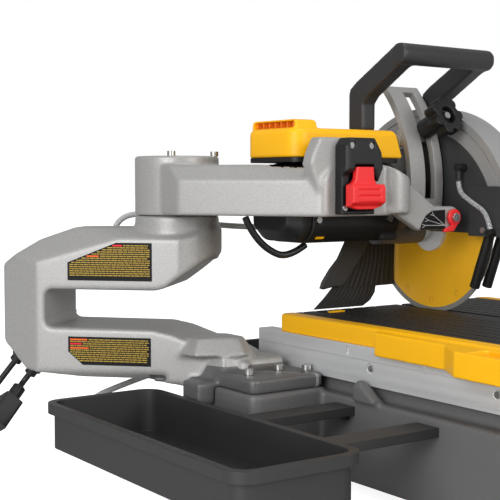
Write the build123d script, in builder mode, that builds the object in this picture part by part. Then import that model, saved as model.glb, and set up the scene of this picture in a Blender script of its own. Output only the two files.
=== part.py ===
from build123d import *
import os
from math import cos, radians, sin, tan

# Tile and masonry wet saw with a cantilevered C-arm.
# Millimetres. Working axes: X = 0 is the blade's plane, Y = 0 and Z = 0 lie on the
# arbor axis. +X is the operator's right, +Y points away from the operator, +Z is up.
# save() moves each piece to the row frame, whose origin is at the base's bottom centre.

os.makedirs("parts", exist_ok=True)

# ---- driving dimensions ------------------------------------------------------
ARBOR_HEIGHT = 345.0
CENTRE_X = -187.0
CENTRE_Y = -156.0

BLADE_R = 127.0
BLADE_T = 2.0
BORE_R = 7.94
FLANGE_R = 32.0

TABLE_Z = -122.0
MAT_T = 7.0
PLATE_T = 18.0
RAIL_TOP = -166.0
RAIL_H = 33.0
RAIL_W = 30.0
SLIDE_GAP = 0.3
SLIDER_TOP = TABLE_Z - MAT_T - PLATE_T
FLOOR_Z = -ARBOR_HEIGHT
FOOT_H = 12.0
FRAME_BOTTOM = FLOOR_Z + FOOT_H
BEAM_TOP = -218.0
SEAT_TOP = RAIL_TOP - RAIL_H
SEAT_INSET = 12.0

FRAME_L, FRAME_R = -256.0, 216.0
FRAME_FRONT, FRAME_BACK = -742.0, 122.0
RAIL_XL, RAIL_XR = -243.0, 203.0
CART_FRONT, CART_BACK = -590.0, 76.0
CART_MID = (RAIL_XL + RAIL_XR) / 2
TRIM_W = 27.0
TRIM_TOP = TABLE_Z + 1.0

PIVOT_Y, PIVOT_Z = 160.0, 70.0
STRIP_R = 216.0
STRIP_T = 10.0
STRIP_X1, STRIP_X2 = -97.0, -33.0
SLOT_X, SLOT_W = -58.5, 20.0
KNOB_ANGLE = 22.0

BOSS_X, BOSS_Y, BOSS_R = -363.0, 163.0, 62.0
ARM_THICK = 142.0
MOTOR_X1, MOTOR_X2 = -313.0, -120.0
MOTOR_HALF = 58.0
COVER_Z = 108.0
WALL_FRONT, WALL_BACK = -112.0, -92.0

FOOT_BOLTS = ((-345, 2), (-287, 11), (-255, -12))
BOSS_BOLTS = ((BOSS_X - 30, BOSS_Y - 34), (BOSS_X + 44, BOSS_Y - 34))
RAIL_SCREWS = (-135, -361, -587)
RAIL_SCREW_Z = -176.0
LUG_YS = (-132, -470)
STAND_HOLES = ((-200, -727), (170, -727), (-200, 107), (170, 107))
NOZZLE_Y, NOZZLE_Z, NOZZLE_X = -135.0, 5.0, 13.0
PIN_R, PIN_HOLE_R = 4.0, 4.1

# ---- helpers -----------------------------------------------------------------
def save(builder, name):
    """Label one finished piece and write it in the row frame."""
    builder.part.label = name
    row = builder.part.moved(Location((-CENTRE_X, -CENTRE_Y, ARBOR_HEIGHT)))
    row.label = name
    export_step(row, f"parts/{name}.step")


def block(x1, x2, y1, y2, z1, z2, mode=Mode.ADD):
    """An axis-aligned block between two corners, joined to the open part."""
    with Locations(((x1 + x2) / 2, (y1 + y2) / 2, (z1 + z2) / 2)):
        Box(x2 - x1, y2 - y1, z2 - z1, mode=mode)


def upright(x, y, z1, z2, radius, mode=Mode.ADD):
    """A cylinder along Z."""
    with Locations((x, y, (z1 + z2) / 2)):
        Cylinder(radius, z2 - z1, mode=mode)


def across(x1, x2, y, z, radius, mode=Mode.ADD):
    """A cylinder along X."""
    with Locations(Location(((x1 + x2) / 2, y, z), (0, 90, 0))):
        Cylinder(radius, x2 - x1, mode=mode)


def along(x, y1, y2, z, radius, mode=Mode.ADD):
    """A cylinder along Y."""
    with Locations(Location((x, (y1 + y2) / 2, z), (90, 0, 0))):
        Cylinder(radius, y2 - y1, mode=mode)


def side_plane(x):
    """Sketch plane across X: local x is world Y and local y is world Z."""
    return Plane(origin=(x, 0, 0), x_dir=(0, 1, 0), z_dir=(1, 0, 0))


def front_plane(y):
    """Sketch plane across Y: local x is world X, local y is world Z, normal towards -Y."""
    return Plane(origin=(0, y, 0), x_dir=(1, 0, 0), z_dir=(0, -1, 0))


def socket_screw(x, y, z, head_r, head_h, shank_r, shank_l):
    """A socket-head screw standing on z with its shank below."""
    upright(x, y, z, z + head_h, head_r)
    upright(x, y, z - shank_l, z + 0.5, shank_r)
    with BuildSketch(Plane.XY.offset(z + head_h)) as socket:
        with Locations((x, y)):
            RegularPolygon(head_r * 0.5, 6)
    extrude(socket.sketch, amount=-head_h * 0.5, mode=Mode.SUBTRACT)


def bend_radii(points, radius_cap):
    """Bend radii for a routed cord: 0.45 of the shorter run at each corner, capped."""
    radii = []
    for before, here, after in zip(points, points[1:], points[2:]):
        first = Vector(*here) - Vector(*before)
        second = Vector(*after) - Vector(*here)
        turn = radians(first.get_angle(second))
        reach = 0.45 * min(first.length, second.length)
        radii.append(min(radius_cap, reach / tan(turn / 2)))
    return radii


def cord(points, radius, radius_cap):
    """A round cord along straight runs joined by tangent arcs."""
    with BuildLine() as route:
        FilletPolyline(*points, radius=bend_radii(points, radius_cap))
    with BuildSketch(Plane(origin=route.line @ 0, z_dir=route.line % 0)) as section:
        Circle(radius)
    sweep(section.sketch, path=route.line)


# ==== base ====================================================================
with BuildPart() as base_frame:
    with BuildSketch(Plane.XY.offset(FRAME_BOTTOM)):
        with Locations(((FRAME_L + FRAME_R) / 2, (FRAME_FRONT + FRAME_BACK) / 2)):
            RectangleRounded(FRAME_R - FRAME_L, FRAME_BACK - FRAME_FRONT, 24)
        with Locations((CART_MID, (FRAME_FRONT + FRAME_BACK) / 2)):
            Rectangle(384, FRAME_BACK - FRAME_FRONT - 60, mode=Mode.SUBTRACT)
    extrude(amount=BEAM_TOP - FRAME_BOTTOM)
    # pedestal under the C-arm's foot
    with BuildSketch(Plane.XY.offset(FRAME_BOTTOM)):
        with Locations((-310, 25)):
            RectangleRounded(130, 150, 14)
    extrude(amount=-213 - FRAME_BOTTOM)
    fillet(base_frame.faces().sort_by(Axis.Z)[-1].outer_wire().edges(), 3)
    # hollow beams, open below
    block(FRAME_L + 8, -220, FRAME_FRONT + 40, -60, FRAME_BOTTOM, BEAM_TOP - 8, Mode.SUBTRACT)
    block(180, FRAME_R - 8, FRAME_FRONT + 40, FRAME_BACK - 40, FRAME_BOTTOM, BEAM_TOP - 8, Mode.SUBTRACT)
    # rail seats
    block(RAIL_XL + SEAT_INSET, RAIL_XL + RAIL_W, FRAME_FRONT + 20, FRAME_BACK - 20, BEAM_TOP - 1, SEAT_TOP)
    block(RAIL_XR - RAIL_W, RAIL_XR - SEAT_INSET, FRAME_FRONT + 20, FRAME_BACK - 20, BEAM_TOP - 1, SEAT_TOP)
    for bolt_x, bolt_y in FOOT_BOLTS:
        upright(bolt_x, bolt_y, -225, -212, PIN_HOLE_R, Mode.SUBTRACT)
    # threaded holes for a stand
    for hole_x, hole_y in STAND_HOLES:
        upright(hole_x, hole_y, FRAME_BOTTOM, FRAME_BOTTOM + 30, 4.2, Mode.SUBTRACT)
    # cast lugs on the left beam, each with a bolt head
    for lug_y in LUG_YS:
        with BuildSketch(side_plane(FRAME_L - 8)):
            with BuildLine():
                Polyline((lug_y - 34, BEAM_TOP - 1), (lug_y + 8, BEAM_TOP - 1), (lug_y + 8, BEAM_TOP + 22),
                         (lug_y - 8, BEAM_TOP + 22), (lug_y - 34, BEAM_TOP + 5), close=True)
            make_face()
        extrude(amount=18)
        upright(FRAME_L + 1, lug_y, BEAM_TOP + 18, BEAM_TOP + 27, 6)
    # hose port in the left beam
    with BuildSketch(side_plane(FRAME_L - 1)):
        with Locations((-85, -243)):
            SlotOverall(44, 16)
    extrude(amount=8, mode=Mode.SUBTRACT)
save(base_frame, "base_frame")

with BuildPart() as rubber_feet:
    for foot_x in (FRAME_L + 20, FRAME_R - 20):
        for foot_y in (FRAME_FRONT + 20, FRAME_BACK - 20):
            upright(foot_x, foot_y, FLOOR_Z, FRAME_BOTTOM, 18)
save(rubber_feet, "rubber_feet")

PAN_X1, PAN_X2 = CART_MID - 190, CART_MID + 190
PAN_Y1, PAN_Y2 = FRAME_FRONT + 34, FRAME_BACK - 34
PAN_WALL = 3.0
with BuildPart() as water_pan:
    block(PAN_X1, PAN_X2, PAN_Y1, PAN_Y2, FRAME_BOTTOM, -226)
    fillet(water_pan.edges().filter_by(Axis.Z), 18)
    top_face = water_pan.faces().sort_by(Axis.Z)[-1]
    offset(amount=-PAN_WALL, openings=top_face)
    along(CART_MID, PAN_Y1 - 1, PAN_Y1 + PAN_WALL + 1, -314, 9.1, Mode.SUBTRACT)
save(water_pan, "water_pan")

with BuildPart() as drain_plug:
    along(CART_MID, PAN_Y1 - 1, PAN_Y1 + 12, -314, 9)
    along(CART_MID, PAN_Y1 + PAN_WALL, PAN_Y1 + 8, -314, 14)
save(drain_plug, "drain_plug")

with BuildPart() as water_pump:
    block(-190, -120, -20, 50, FRAME_BOTTOM + PAN_WALL, -270)
    fillet(water_pump.edges().filter_by(Axis.Z), 12)
    upright(-155, 15, -271, -250, 8)
    for slot_x in (-180, -165, -150, -135):
        block(slot_x, slot_x + 5, -22, -14, -325, -285, Mode.SUBTRACT)
save(water_pump, "water_pump")


def fixed_rail(x_outer, side):
    """Lower rail: a C-section with a runner channel open to the inside and two outer grooves."""
    inner = x_outer + side * RAIL_W
    low, high = sorted((x_outer, inner))
    block(low, high, FRAME_FRONT, FRAME_BACK, SEAT_TOP, RAIL_TOP)
    ch_low, ch_high = sorted((inner, inner - side * 18))
    block(ch_low, ch_high, FRAME_FRONT - 1, FRAME_BACK + 1, RAIL_TOP - 25, RAIL_TOP - 9, Mode.SUBTRACT)
    for groove_z in (SEAT_TOP + 4, SEAT_TOP + 8):
        g_low, g_high = sorted((x_outer, x_outer + side * 1.2))
        block(g_low, g_high, FRAME_FRONT - 1, FRAME_BACK + 1, groove_z, groove_z + 1.4, Mode.SUBTRACT)
    bore_low, bore_high = sorted((x_outer - side, x_outer + side * 3))
    for screw_y in RAIL_SCREWS:
        across(low - 1, high + 1, screw_y, RAIL_SCREW_Z, 4.6, Mode.SUBTRACT)
        across(bore_low, bore_high, screw_y, RAIL_SCREW_Z, 7.5, Mode.SUBTRACT)


with BuildPart() as fixed_rails:
    fixed_rail(RAIL_XL, 1)
    fixed_rail(RAIL_XR, -1)
save(fixed_rails, "fixed_rails")


def tray(x1, x2, y1, y2, rim_z, depth, rim_w):
    """An open plastic tray with a rolled rim."""
    wall = 3.0
    with BuildSketch(Plane.XY.offset(rim_z - depth)) as tub:
        with Locations(((x1 + x2) / 2, (y1 + y2) / 2)):
            RectangleRounded(x2 - x1 - 2 * rim_w, y2 - y1 - 2 * rim_w, 22)
    extrude(tub.sketch, amount=depth)
    with BuildSketch(Plane.XY.offset(rim_z - 14)) as rim:
        with Locations(((x1 + x2) / 2, (y1 + y2) / 2)):
            RectangleRounded(x2 - x1, y2 - y1, 28)
    extrude(rim.sketch, amount=14)
    with BuildSketch(Plane.XY.offset(rim_z - depth + wall)) as hollow:
        with Locations(((x1 + x2) / 2, (y1 + y2) / 2)):
            RectangleRounded(x2 - x1 - 2 * rim_w - 2 * wall, y2 - y1 - 2 * rim_w - 2 * wall, 19)
    extrude(hollow.sketch, amount=depth, mode=Mode.SUBTRACT)


SIDE_TRAY_X1, SIDE_TRAY_X2 = -590.0, -412.0
SIDE_TRAY_Y1, SIDE_TRAY_Y2 = -330.0, 150.0
with BuildPart() as side_water_tray:
    tray(SIDE_TRAY_X1, SIDE_TRAY_X2, SIDE_TRAY_Y1, SIDE_TRAY_Y2, -226, 62, 8)
    # two hooks that hang the tray on the frame's left beam
    for hook_y in (-280, -120):
        block(SIDE_TRAY_X2 - 4, FRAME_L - 0.2, hook_y, hook_y + 40, -240, -228)
save(side_water_tray, "side_water_tray")

REAR_TRAY_Y2 = 430.0
with BuildPart() as rear_water_tray:
    tray(PAN_X1 + 6, RAIL_XR - 20, FRAME_BACK + 1, REAR_TRAY_Y2, -216, 46, 8)
save(rear_water_tray, "rear_water_tray")

# ==== C-arm ===================================================================
ARM_DIR = Vector(-cos(radians(45)), sin(radians(45)), 0)
arm_plane = Plane(origin=(BOSS_X, BOSS_Y, 0), x_dir=ARM_DIR, z_dir=(sin(radians(45)), cos(radians(45)), 0))
ARM_END = 262.0
THROAT_END = 182.0
CREST = 7.5
SHOULDER_S, SHOULDER_Z = 165.0, -33.0
SHOULDER_RUN, SHOULDER_DROP = 124.0, 34.4
FLANGE_TOP = -193.0
CORNER_S, CORNER_HIGH, CORNER_LOW = 216.0, -165.0, -203.0
CORNER_SLOPE = (CORNER_HIGH - CORNER_LOW) / (ARM_END - CORNER_S)
GLAND_DIR = (ARM_DIR * CORNER_SLOPE + Vector(0, 0, -1)).normalized()
GLAND_R = 9.0
GLAND_REACH = 14.0


def corner_point(s, t):
    """A point on the slanted lower corner face, s along the arm and t across it."""
    return arm_plane.from_local_coords(Vector(s, CORNER_HIGH - (ARM_END - s) * CORNER_SLOPE, t))


POWER_EXIT = corner_point(238, -24)
PUMP_EXIT = corner_point(215, -24)

with BuildPart() as c_arm:
    with BuildSketch(arm_plane):
        with BuildLine():
            Polyline((-66, CREST), (150, CREST), (204, -11), (ARM_END, -48), (ARM_END, CORNER_HIGH),
                     (CORNER_S, CORNER_LOW), (128, -211), (30, -211), (-30, -219), (-104, -219), (-123,
                                                                                                  -183),
                     (-60, -163), (-8, -144), (22, -138), (THROAT_END, -137), (THROAT_END, -82), (16, -82),
                     (2, -78), (-66, -29), close=True)
        make_face()
    extrude(amount=ARM_THICK / 2, both=True)
    throat_corners = c_arm.edges().filter_by(lambda e: abs(e.length - ARM_THICK) < 0.1)
    throat_corners = throat_corners.filter_by(
        lambda e: abs(arm_plane.to_local_coords(e.center()).X - THROAT_END) < 1)
    fillet(throat_corners, 10)
    # round about the boss above the throat
    with BuildSketch(Plane(origin=(BOSS_X, BOSS_Y, -110), x_dir=ARM_DIR, z_dir=(0, 0, 1))):
        with BuildLine():
            Polyline((-20, -ARM_THICK / 2), (-80, -ARM_THICK / 2), (-80, ARM_THICK / 2),
                     (-20, ARM_THICK / 2))
            ThreePointArc((-20, ARM_THICK / 2), (-66, 0), (-20, -ARM_THICK / 2))
        make_face()
    extrude(amount=140, mode=Mode.SUBTRACT)
    # the outer end narrows to a nose in plan
    with BuildSketch(Plane(origin=(BOSS_X, BOSS_Y, -260), x_dir=ARM_DIR, z_dir=(0, 0, 1))):
        with BuildLine():
            Polyline((-160, -71), (195, -71), (ARM_END, -30), (ARM_END, 30), (195, 71), (-160, 71),
                     close=True)
        make_face()
    extrude(amount=300, mode=Mode.INTERSECT)
    # the top falls away to the front and the back, and deeper along the outer shoulder
    for side in (1, -1):
        across_arm = Vector(side * sin(radians(45)), side * cos(radians(45)), 0)
        with BuildSketch(Plane(origin=(BOSS_X, BOSS_Y, 0), x_dir=across_arm, z_dir=ARM_DIR * -side)):
            with BuildLine():
                Polyline((34, CREST + 0.5), (ARM_THICK / 2 + 1, -7), (ARM_THICK / 2 + 1, CREST + 0.5),
                         close=True)
            make_face()
        extrude(amount=150, both=True, mode=Mode.SUBTRACT)
        shoulder_run = ARM_DIR * SHOULDER_RUN + Vector(0, 0, -SHOULDER_DROP)
        shoulder_origin = Vector(BOSS_X, BOSS_Y, SHOULDER_Z) + ARM_DIR * SHOULDER_S
        with BuildSketch(Plane(origin=shoulder_origin, x_dir=across_arm, z_dir=shoulder_run * -side)):
            with BuildLine():
                Polyline((ARM_THICK / 2 + 1, -1), (20, 37), (20, 70), (ARM_THICK / 2 + 1, 70), close=True)
            make_face()
        extrude(amount=112, both=True, mode=Mode.SUBTRACT)
        # the underside's edges are cut back too
        with BuildSketch(Plane(origin=(BOSS_X, BOSS_Y, 0), x_dir=across_arm, z_dir=ARM_DIR * -side)):
            with BuildLine():
                Polyline((58, -212), (ARM_THICK / 2 + 1, -201), (ARM_THICK / 2 + 1, -212), close=True)
            make_face()
        extrude(amount=190, mode=Mode.SUBTRACT, dir=ARM_DIR)
    upright(BOSS_X, BOSS_Y, -40, 25.4, BOSS_R)
    # foot flange, and the knuckle above it in two tiers
    with BuildSketch(Plane.XY.offset(FLANGE_TOP - 20)):
        with Locations((-308, 25)):
            RectangleRounded(124, 134, 10)
    extrude(amount=20)
    with BuildSketch(Plane.XY.offset(FLANGE_TOP - 15)):
        with BuildLine():
            Polyline((-365, 34), (-318, 30), (-262, 24), (-252, 40), (-252, 92), (-290, 130), (-352, 150),
                     (-392, 110), close=True)
        make_face()
    extrude(amount=30, taper=14)
    with BuildSketch(Plane.XY.offset(FLANGE_TOP + 20)):
        with BuildLine():
            Polyline((-398, 60), (-330, 30), (-300, 50), (-302, 105), (-345, 142), (-402, 112), close=True)
        make_face()
    extrude(amount=26, taper=30)
    # post that reaches down beside the tray
    block(-404, -354, 40, 84, -238, -205)
    # clear of the pedestal and the beam, with bolt holes, a tapped hole and gland holes
    block(-376, -245.9, -51, 100.1, -260, -213, Mode.SUBTRACT)
    block(-331, -200, -51, FRAME_BACK + 0.1, -260, BEAM_TOP + 0.1, Mode.SUBTRACT)
    # clear of the cart's whole travel along the left rail
    block(RAIL_XL - 0.8, -200, -60, FRAME_BACK + 60, -230, -140, Mode.SUBTRACT)
    for bolt_x, bolt_y in FOOT_BOLTS:
        upright(bolt_x, bolt_y, -214, -192, PIN_HOLE_R, Mode.SUBTRACT)
    upright(-270, -24, -214, FLANGE_TOP + 1, 3.5, Mode.SUBTRACT)
    for exit_point in (POWER_EXIT, PUMP_EXIT):
        with BuildSketch(Plane(origin=exit_point - GLAND_DIR * 9, z_dir=GLAND_DIR)):
            Circle(GLAND_R + 0.1)
        extrude(amount=20, mode=Mode.SUBTRACT)
save(c_arm, "c_arm")

with BuildPart() as c_arm_cover:
    with BuildSketch(arm_plane.offset(ARM_THICK / 2 + 0.1)):
        with BuildLine():
            Polyline((-14, -18), (70, -18), (190, -58), (190, -158), (120, -194), (-10, -194),
                     (-10, -152), (184, -152), (184, -68), (-4, -68), close=True)
        make_face()
    extrude(amount=4)
save(c_arm_cover, "c_arm_rear_cover")


def label_plate(points, thickness=0.8):
    """A thin label stuck to the C-arm's front face."""
    with BuildSketch(arm_plane.offset(-ARM_THICK / 2 - thickness)) as outline:
        with BuildLine():
            Polyline(*points, close=True)
        make_face()
    extrude(outline.sketch, amount=thickness)


with BuildPart() as arm_labels:
    label_plate(((20, -13), (73, -13), (146, -42), (146, -68), (20, -68)))
    label_plate(((22, -150), (146, -150), (146, -172), (124, -191), (22, -191)))
save(arm_labels, "arm_labels")

# ==== upper arm ===============================================================
ARM_LOW, ARM_TOP = 28.0, 98.0
FACE_TOP = 76.0
LUG_X, LUG_Z, LUG_R = -63.5, 23.5, 16.0
ELBOW = (-422.0, 66.0)
WRIST = (-306.0, -119.0)
with BuildPart() as upper_arm:
    with BuildSketch(Plane.XY.offset(ARM_LOW)):
        with BuildLine():
            Polyline((-400, 163), (-412, 125), ELBOW, WRIST, (-290, WALL_FRONT), (-290, WALL_BACK),
                     (-302, WALL_BACK),
                     (-334, -36), (-334, 75), (-322, 110), (-322, 163), close=True)
        make_face()
    extrude(amount=ARM_TOP - ARM_LOW)
    fillet(upper_arm.edges().filter_by(Axis.Z).filter_by(
        lambda e: abs(e.center().X - ELBOW[0]) < 1 or abs(e.center().X - WRIST[0]) < 1), 12)
    # the top falls away to the front face
    face_run = Vector(WRIST[0] - ELBOW[0], WRIST[1] - ELBOW[1], 0).normalized()
    face_out = Vector(face_run.Y, -face_run.X, 0)
    with BuildSketch(Plane(origin=(*ELBOW, 0), x_dir=face_out, z_dir=-face_run)):
        with BuildLine():
            Polyline((1, FACE_TOP), (1, ARM_TOP + 1), (-24, ARM_TOP + 1), (-18, ARM_TOP - 3), close=True)
        make_face()
    extrude(amount=260, both=True, mode=Mode.SUBTRACT)
    upright(BOSS_X, BOSS_Y, 26.0, 112, BOSS_R)
    # raised plate at the arm's end, behind the switch box
    with BuildSketch(front_plane(WALL_BACK)):
        with BuildLine():
            Polyline((-300, ARM_LOW), (-326, ARM_TOP), (-322, 112), (-311, 133), (-240, 133), (-228, 108),
                     (-182, 92), (-182, ARM_LOW), close=True)
        make_face()
    extrude(amount=WALL_BACK - WALL_FRONT)
    # front wall that carries the quadrant, ending in the valve lug
    with BuildSketch(front_plane(WALL_BACK)):
        with BuildLine():
            Polyline((-210, ARM_LOW + 3), (-210, 96), (-192, 96), (-149, 74), (-97, LUG_Z + LUG_R),
                     (LUG_X, LUG_Z + LUG_R), (LUG_X, LUG_Z - LUG_R - 2), (-128, LUG_Z - LUG_R - 2),
                     (-174, ARM_LOW + 3), close=True)
        make_face()
    extrude(amount=14)
    along(LUG_X, WALL_BACK - 14, WALL_BACK, LUG_Z, LUG_R)
    # half-round boss in front of the wall, cut along the wall's slope
    upright(-174, WALL_BACK - 8, ARM_LOW + 3, 97, 25)
    with BuildSketch(front_plane(-60)):
        with BuildLine():
            Polyline((-192, 96), (-149, 74), (-149, 99), (-192, 99), close=True)
        make_face()
    extrude(amount=70, mode=Mode.SUBTRACT)
    block(-203, -140, WALL_BACK, -60, ARM_LOW, 98, Mode.SUBTRACT)
    # arm from the wall back to the quadrant
    block(STRIP_X1 + 2, LUG_X + 8, WALL_BACK - 2, -54, 18, 32)
    # boss top recess
    with BuildSketch(Plane.XY.offset(112)):
        with Locations((BOSS_X + 8, BOSS_Y + 4)):
            RectangleRounded(56, 46, 10)
    extrude(amount=-8, mode=Mode.SUBTRACT)
    # hinge shaft hole, bolt holes and the valve's bolt hole
    across(-340, -290, PIVOT_Y, PIVOT_Z, 10.1, Mode.SUBTRACT)
    for bolt_x, bolt_y in BOSS_BOLTS:
        upright(bolt_x, bolt_y, 86, 113, PIN_HOLE_R, Mode.SUBTRACT)
    along(LUG_X, WALL_BACK - 15, WALL_BACK + 1, LUG_Z, PIN_HOLE_R, Mode.SUBTRACT)
save(upper_arm, "upper_arm")

with BuildPart() as plunge_shaft:
    across(-338, -120, PIVOT_Y, PIVOT_Z, 10.0)
    across(-120, -114, PIVOT_Y, PIVOT_Z, 14.0)
save(plunge_shaft, "plunge_shaft")

STRIP_LOW, STRIP_HIGH = -11.0, 43.0
SLOT_LOW, SLOT_HIGH = -5.5, 40.0
with BuildPart() as depth_quadrant:
    with BuildSketch(side_plane(STRIP_X1)):
        with BuildLine():
            outer = CenterArc((PIVOT_Y, PIVOT_Z), STRIP_R, 180 - STRIP_HIGH, STRIP_HIGH - STRIP_LOW)
            inner = CenterArc((PIVOT_Y, PIVOT_Z), STRIP_R - STRIP_T, 180 - STRIP_HIGH,
                              STRIP_HIGH - STRIP_LOW)
            Line(outer @ 0, inner @ 0)
            Line(outer @ 1, inner @ 1)
        make_face()
    extrude(amount=STRIP_X2 - STRIP_X1)
    with BuildSketch(side_plane(SLOT_X - SLOT_W / 2)):
        with BuildLine():
            outer = CenterArc((PIVOT_Y, PIVOT_Z), STRIP_R + 5, 180 - SLOT_HIGH, SLOT_HIGH - SLOT_LOW)
            inner = CenterArc((PIVOT_Y, PIVOT_Z), STRIP_R - STRIP_T - 5, 180 - SLOT_HIGH,
                              SLOT_HIGH - SLOT_LOW)
            Line(outer @ 0, inner @ 0)
            Line(outer @ 1, inner @ 1)
        make_face()
    extrude(amount=SLOT_W, mode=Mode.SUBTRACT)
    # foot that stands on the arm
    block(STRIP_X1 + 6, LUG_X + 6, -78, -48, 32.1, 40)
save(depth_quadrant, "depth_quadrant")

# ==== switch ==================================================================
BOX_X1, BOX_X2 = -286.0, -221.0
BOX_FRONT = -138.0
BODY_FRONT = -127.0
HOOD_SCREWS = ((-276, 122), (-243, 122))
BODY_SCREW = (-281, 40)
with BuildPart() as switch_box:
    # hood
    with BuildSketch(front_plane(WALL_FRONT - 0.2)):
        with BuildLine():
            Polyline((BOX_X1, 87), (BOX_X1, 122), (BOX_X1 + 8, 132.5), (-236, 132.5), (-224, 114),
                     (BOX_X2, 93), (-230, 74), (-238, 87), close=True)
        make_face()
    extrude(amount=WALL_FRONT - 0.2 - BOX_FRONT)
    chamfer(switch_box.faces().sort_by(Axis.Y)[0].edges(), 4)
    # the hood's underside slopes back to the wall
    with BuildSketch(side_plane(BOX_X1)):
        with BuildLine():
            Polyline((WALL_FRONT - 0.2, 68), (BOX_FRONT + 5, 88), (WALL_FRONT - 0.2, 92), close=True)
        make_face()
    extrude(amount=52)
    # body below the hood
    block(BOX_X1, -229, BODY_FRONT, WALL_FRONT - 0.2, 31, 90)
    # recess for the paddle
    block(-272.5, -239, BOX_FRONT - 2, BOX_FRONT + 16, 60, 97, Mode.SUBTRACT)
    block(-278, -230, BOX_FRONT - 2, BOX_FRONT + 16, 36, 70, Mode.SUBTRACT)
    for screw_x, screw_z in HOOD_SCREWS:
        along(screw_x, BOX_FRONT - 2, BOX_FRONT + 7, screw_z, 4.6, Mode.SUBTRACT)
    along(BODY_SCREW[0], BODY_FRONT - 2, BODY_FRONT + 7, BODY_SCREW[1], 4.1, Mode.SUBTRACT)
save(switch_box, "switch_box")

with BuildPart() as pan_screws:
    for screw_x, screw_z in HOOD_SCREWS:
        along(screw_x, BOX_FRONT + 2.5, BOX_FRONT + 7, screw_z, 4.5)
    along(BODY_SCREW[0], BODY_FRONT - 1.5, BODY_FRONT + 7, BODY_SCREW[1], 4)
    for screw_y in RAIL_SCREWS:
        across(RAIL_XL + 0.5, RAIL_XL + 9, screw_y, RAIL_SCREW_Z, 4.5)
        across(RAIL_XR - 9, RAIL_XR - 0.5, screw_y, RAIL_SCREW_Z, 4.5)
    for screw_s, screw_z in ((4, -28), (64, -28), (128, -50), (187, -80), (187, -130), (110, -176),
                             (4, -176)):
        spot = arm_plane.offset(ARM_THICK / 2 + 4.2).from_local_coords(Vector(screw_s, screw_z, 0))
        with BuildSketch(Plane(origin=spot, z_dir=arm_plane.z_dir)):
            Circle(3.5)
        extrude(amount=2.5)
save(pan_screws, "pan_screws")

PADDLE_X = -255.0
PADDLE_FRONT = -147.0
with BuildPart() as switch_paddle:
    with BuildSketch(front_plane(PADDLE_FRONT + 16)):
        with BuildLine():
            Polyline((PADDLE_X - 15, 94), (PADDLE_X + 14, 94), (PADDLE_X + 15, 78), (PADDLE_X + 19, 72),
                     (PADDLE_X + 28, 70), (PADDLE_X + 28, 42), (PADDLE_X + 14, 38), (PADDLE_X - 14, 38),
                     (PADDLE_X - 28, 42), (PADDLE_X - 28, 70), (PADDLE_X - 21, 73), (PADDLE_X - 17,
                                                                                     78), close=True)
        make_face()
    extrude(amount=8)
    # thick grip below, thinner towards the pivot
    with BuildSketch(side_plane(PADDLE_X - 28)):
        with BuildLine():
            Polyline((PADDLE_FRONT + 9, 42), (PADDLE_FRONT + 9, 71), (PADDLE_FRONT + 3, 71),
                     (PADDLE_FRONT, 66),
                     (PADDLE_FRONT, 47), close=True)
        make_face()
    extrude(amount=56)
    for rib_z in (46, 54.5, 63):
        block(PADDLE_X - 18, PADDLE_X + 20, PADDLE_FRONT - 1, PADDLE_FRONT + 1.6, rib_z, rib_z + 2,
              Mode.SUBTRACT)
save(switch_paddle, "switch_paddle")

# ==== water valve =============================================================
VALVE_Y = WALL_BACK - 14.0
with BuildPart() as flow_plate:
    with BuildSketch(front_plane(VALVE_Y - 0.1)):
        with BuildLine():
            Polyline((LUG_X - 63, LUG_Z - 17), (LUG_X - 60, LUG_Z - 8), (LUG_X - 52, LUG_Z + 3),
                     (LUG_X - 40, LUG_Z + 10), (LUG_X - 15, LUG_Z + 11), (LUG_X - 15,
                                                                          LUG_Z - 17), close=True)
        make_face()
    extrude(amount=1.2)
save(flow_plate, "flow_plate")

with BuildPart() as flow_lever:
    along(LUG_X, VALVE_Y - 6, VALVE_Y - 1.6, LUG_Z, 12)
    with BuildSketch(front_plane(VALVE_Y - 1.6)):
        with BuildLine():
            Polyline((LUG_X - 4, LUG_Z - 11), (LUG_X - 20, LUG_Z - 17), (LUG_X - 20, LUG_Z - 21),
                     (LUG_X - 2, LUG_Z - 20), (LUG_X + 8, LUG_Z - 8), close=True)
        make_face()
    extrude(amount=4.4)
    along(LUG_X, VALVE_Y - 8, VALVE_Y, LUG_Z, PIN_R + 0.05, Mode.SUBTRACT)
save(flow_lever, "flow_lever")

with BuildPart() as socket_bolts:
    for bolt_x, bolt_y in FOOT_BOLTS:
        socket_screw(bolt_x, bolt_y, -193, 6.5, 8, PIN_R, 30)
    for bolt_x, bolt_y in BOSS_BOLTS:
        socket_screw(bolt_x, bolt_y, 112, 6, 7, PIN_R, 24)
    # the bolt that the valve lever turns on
    along(LUG_X, VALVE_Y - 7, VALVE_Y + 8, LUG_Z, PIN_R)
    along(LUG_X, VALVE_Y - 10, VALVE_Y - 6.4, LUG_Z, 6.5)
save(socket_bolts, "socket_bolts")

# ==== cutting head: motor =====================================================
MOTOR_Z = 45.0
MOTOR_SCREWS = (-270, -140)
with BuildPart() as motor_housing:
    with BuildSketch(side_plane(MOTOR_X1 + 34)):
        with Locations((0, MOTOR_Z)):
            RectangleRounded(2 * MOTOR_HALF, 2 * MOTOR_HALF - 4, 30)
    extrude(amount=MOTOR_X2 - MOTOR_X1 - 34)
    # the housing's foot towards the gear case
    block(-150, MOTOR_X2, -52, 52, -10, 20)
    # hinge arms to the rear
    for arm_x in (-276, -176):
        block(arm_x, arm_x + 40, 40, PIVOT_Y, PIVOT_Z - 18, PIVOT_Z + 18)
        across(arm_x, arm_x + 40, PIVOT_Y, PIVOT_Z, 22)
    across(-290, -130, PIVOT_Y, PIVOT_Z, 10.05, Mode.SUBTRACT)
    for screw_x in MOTOR_SCREWS:
        along(screw_x, -MOTOR_HALF - 1, -MOTOR_HALF + 7, 22, 4.6, Mode.SUBTRACT)
save(motor_housing, "motor_housing")

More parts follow.
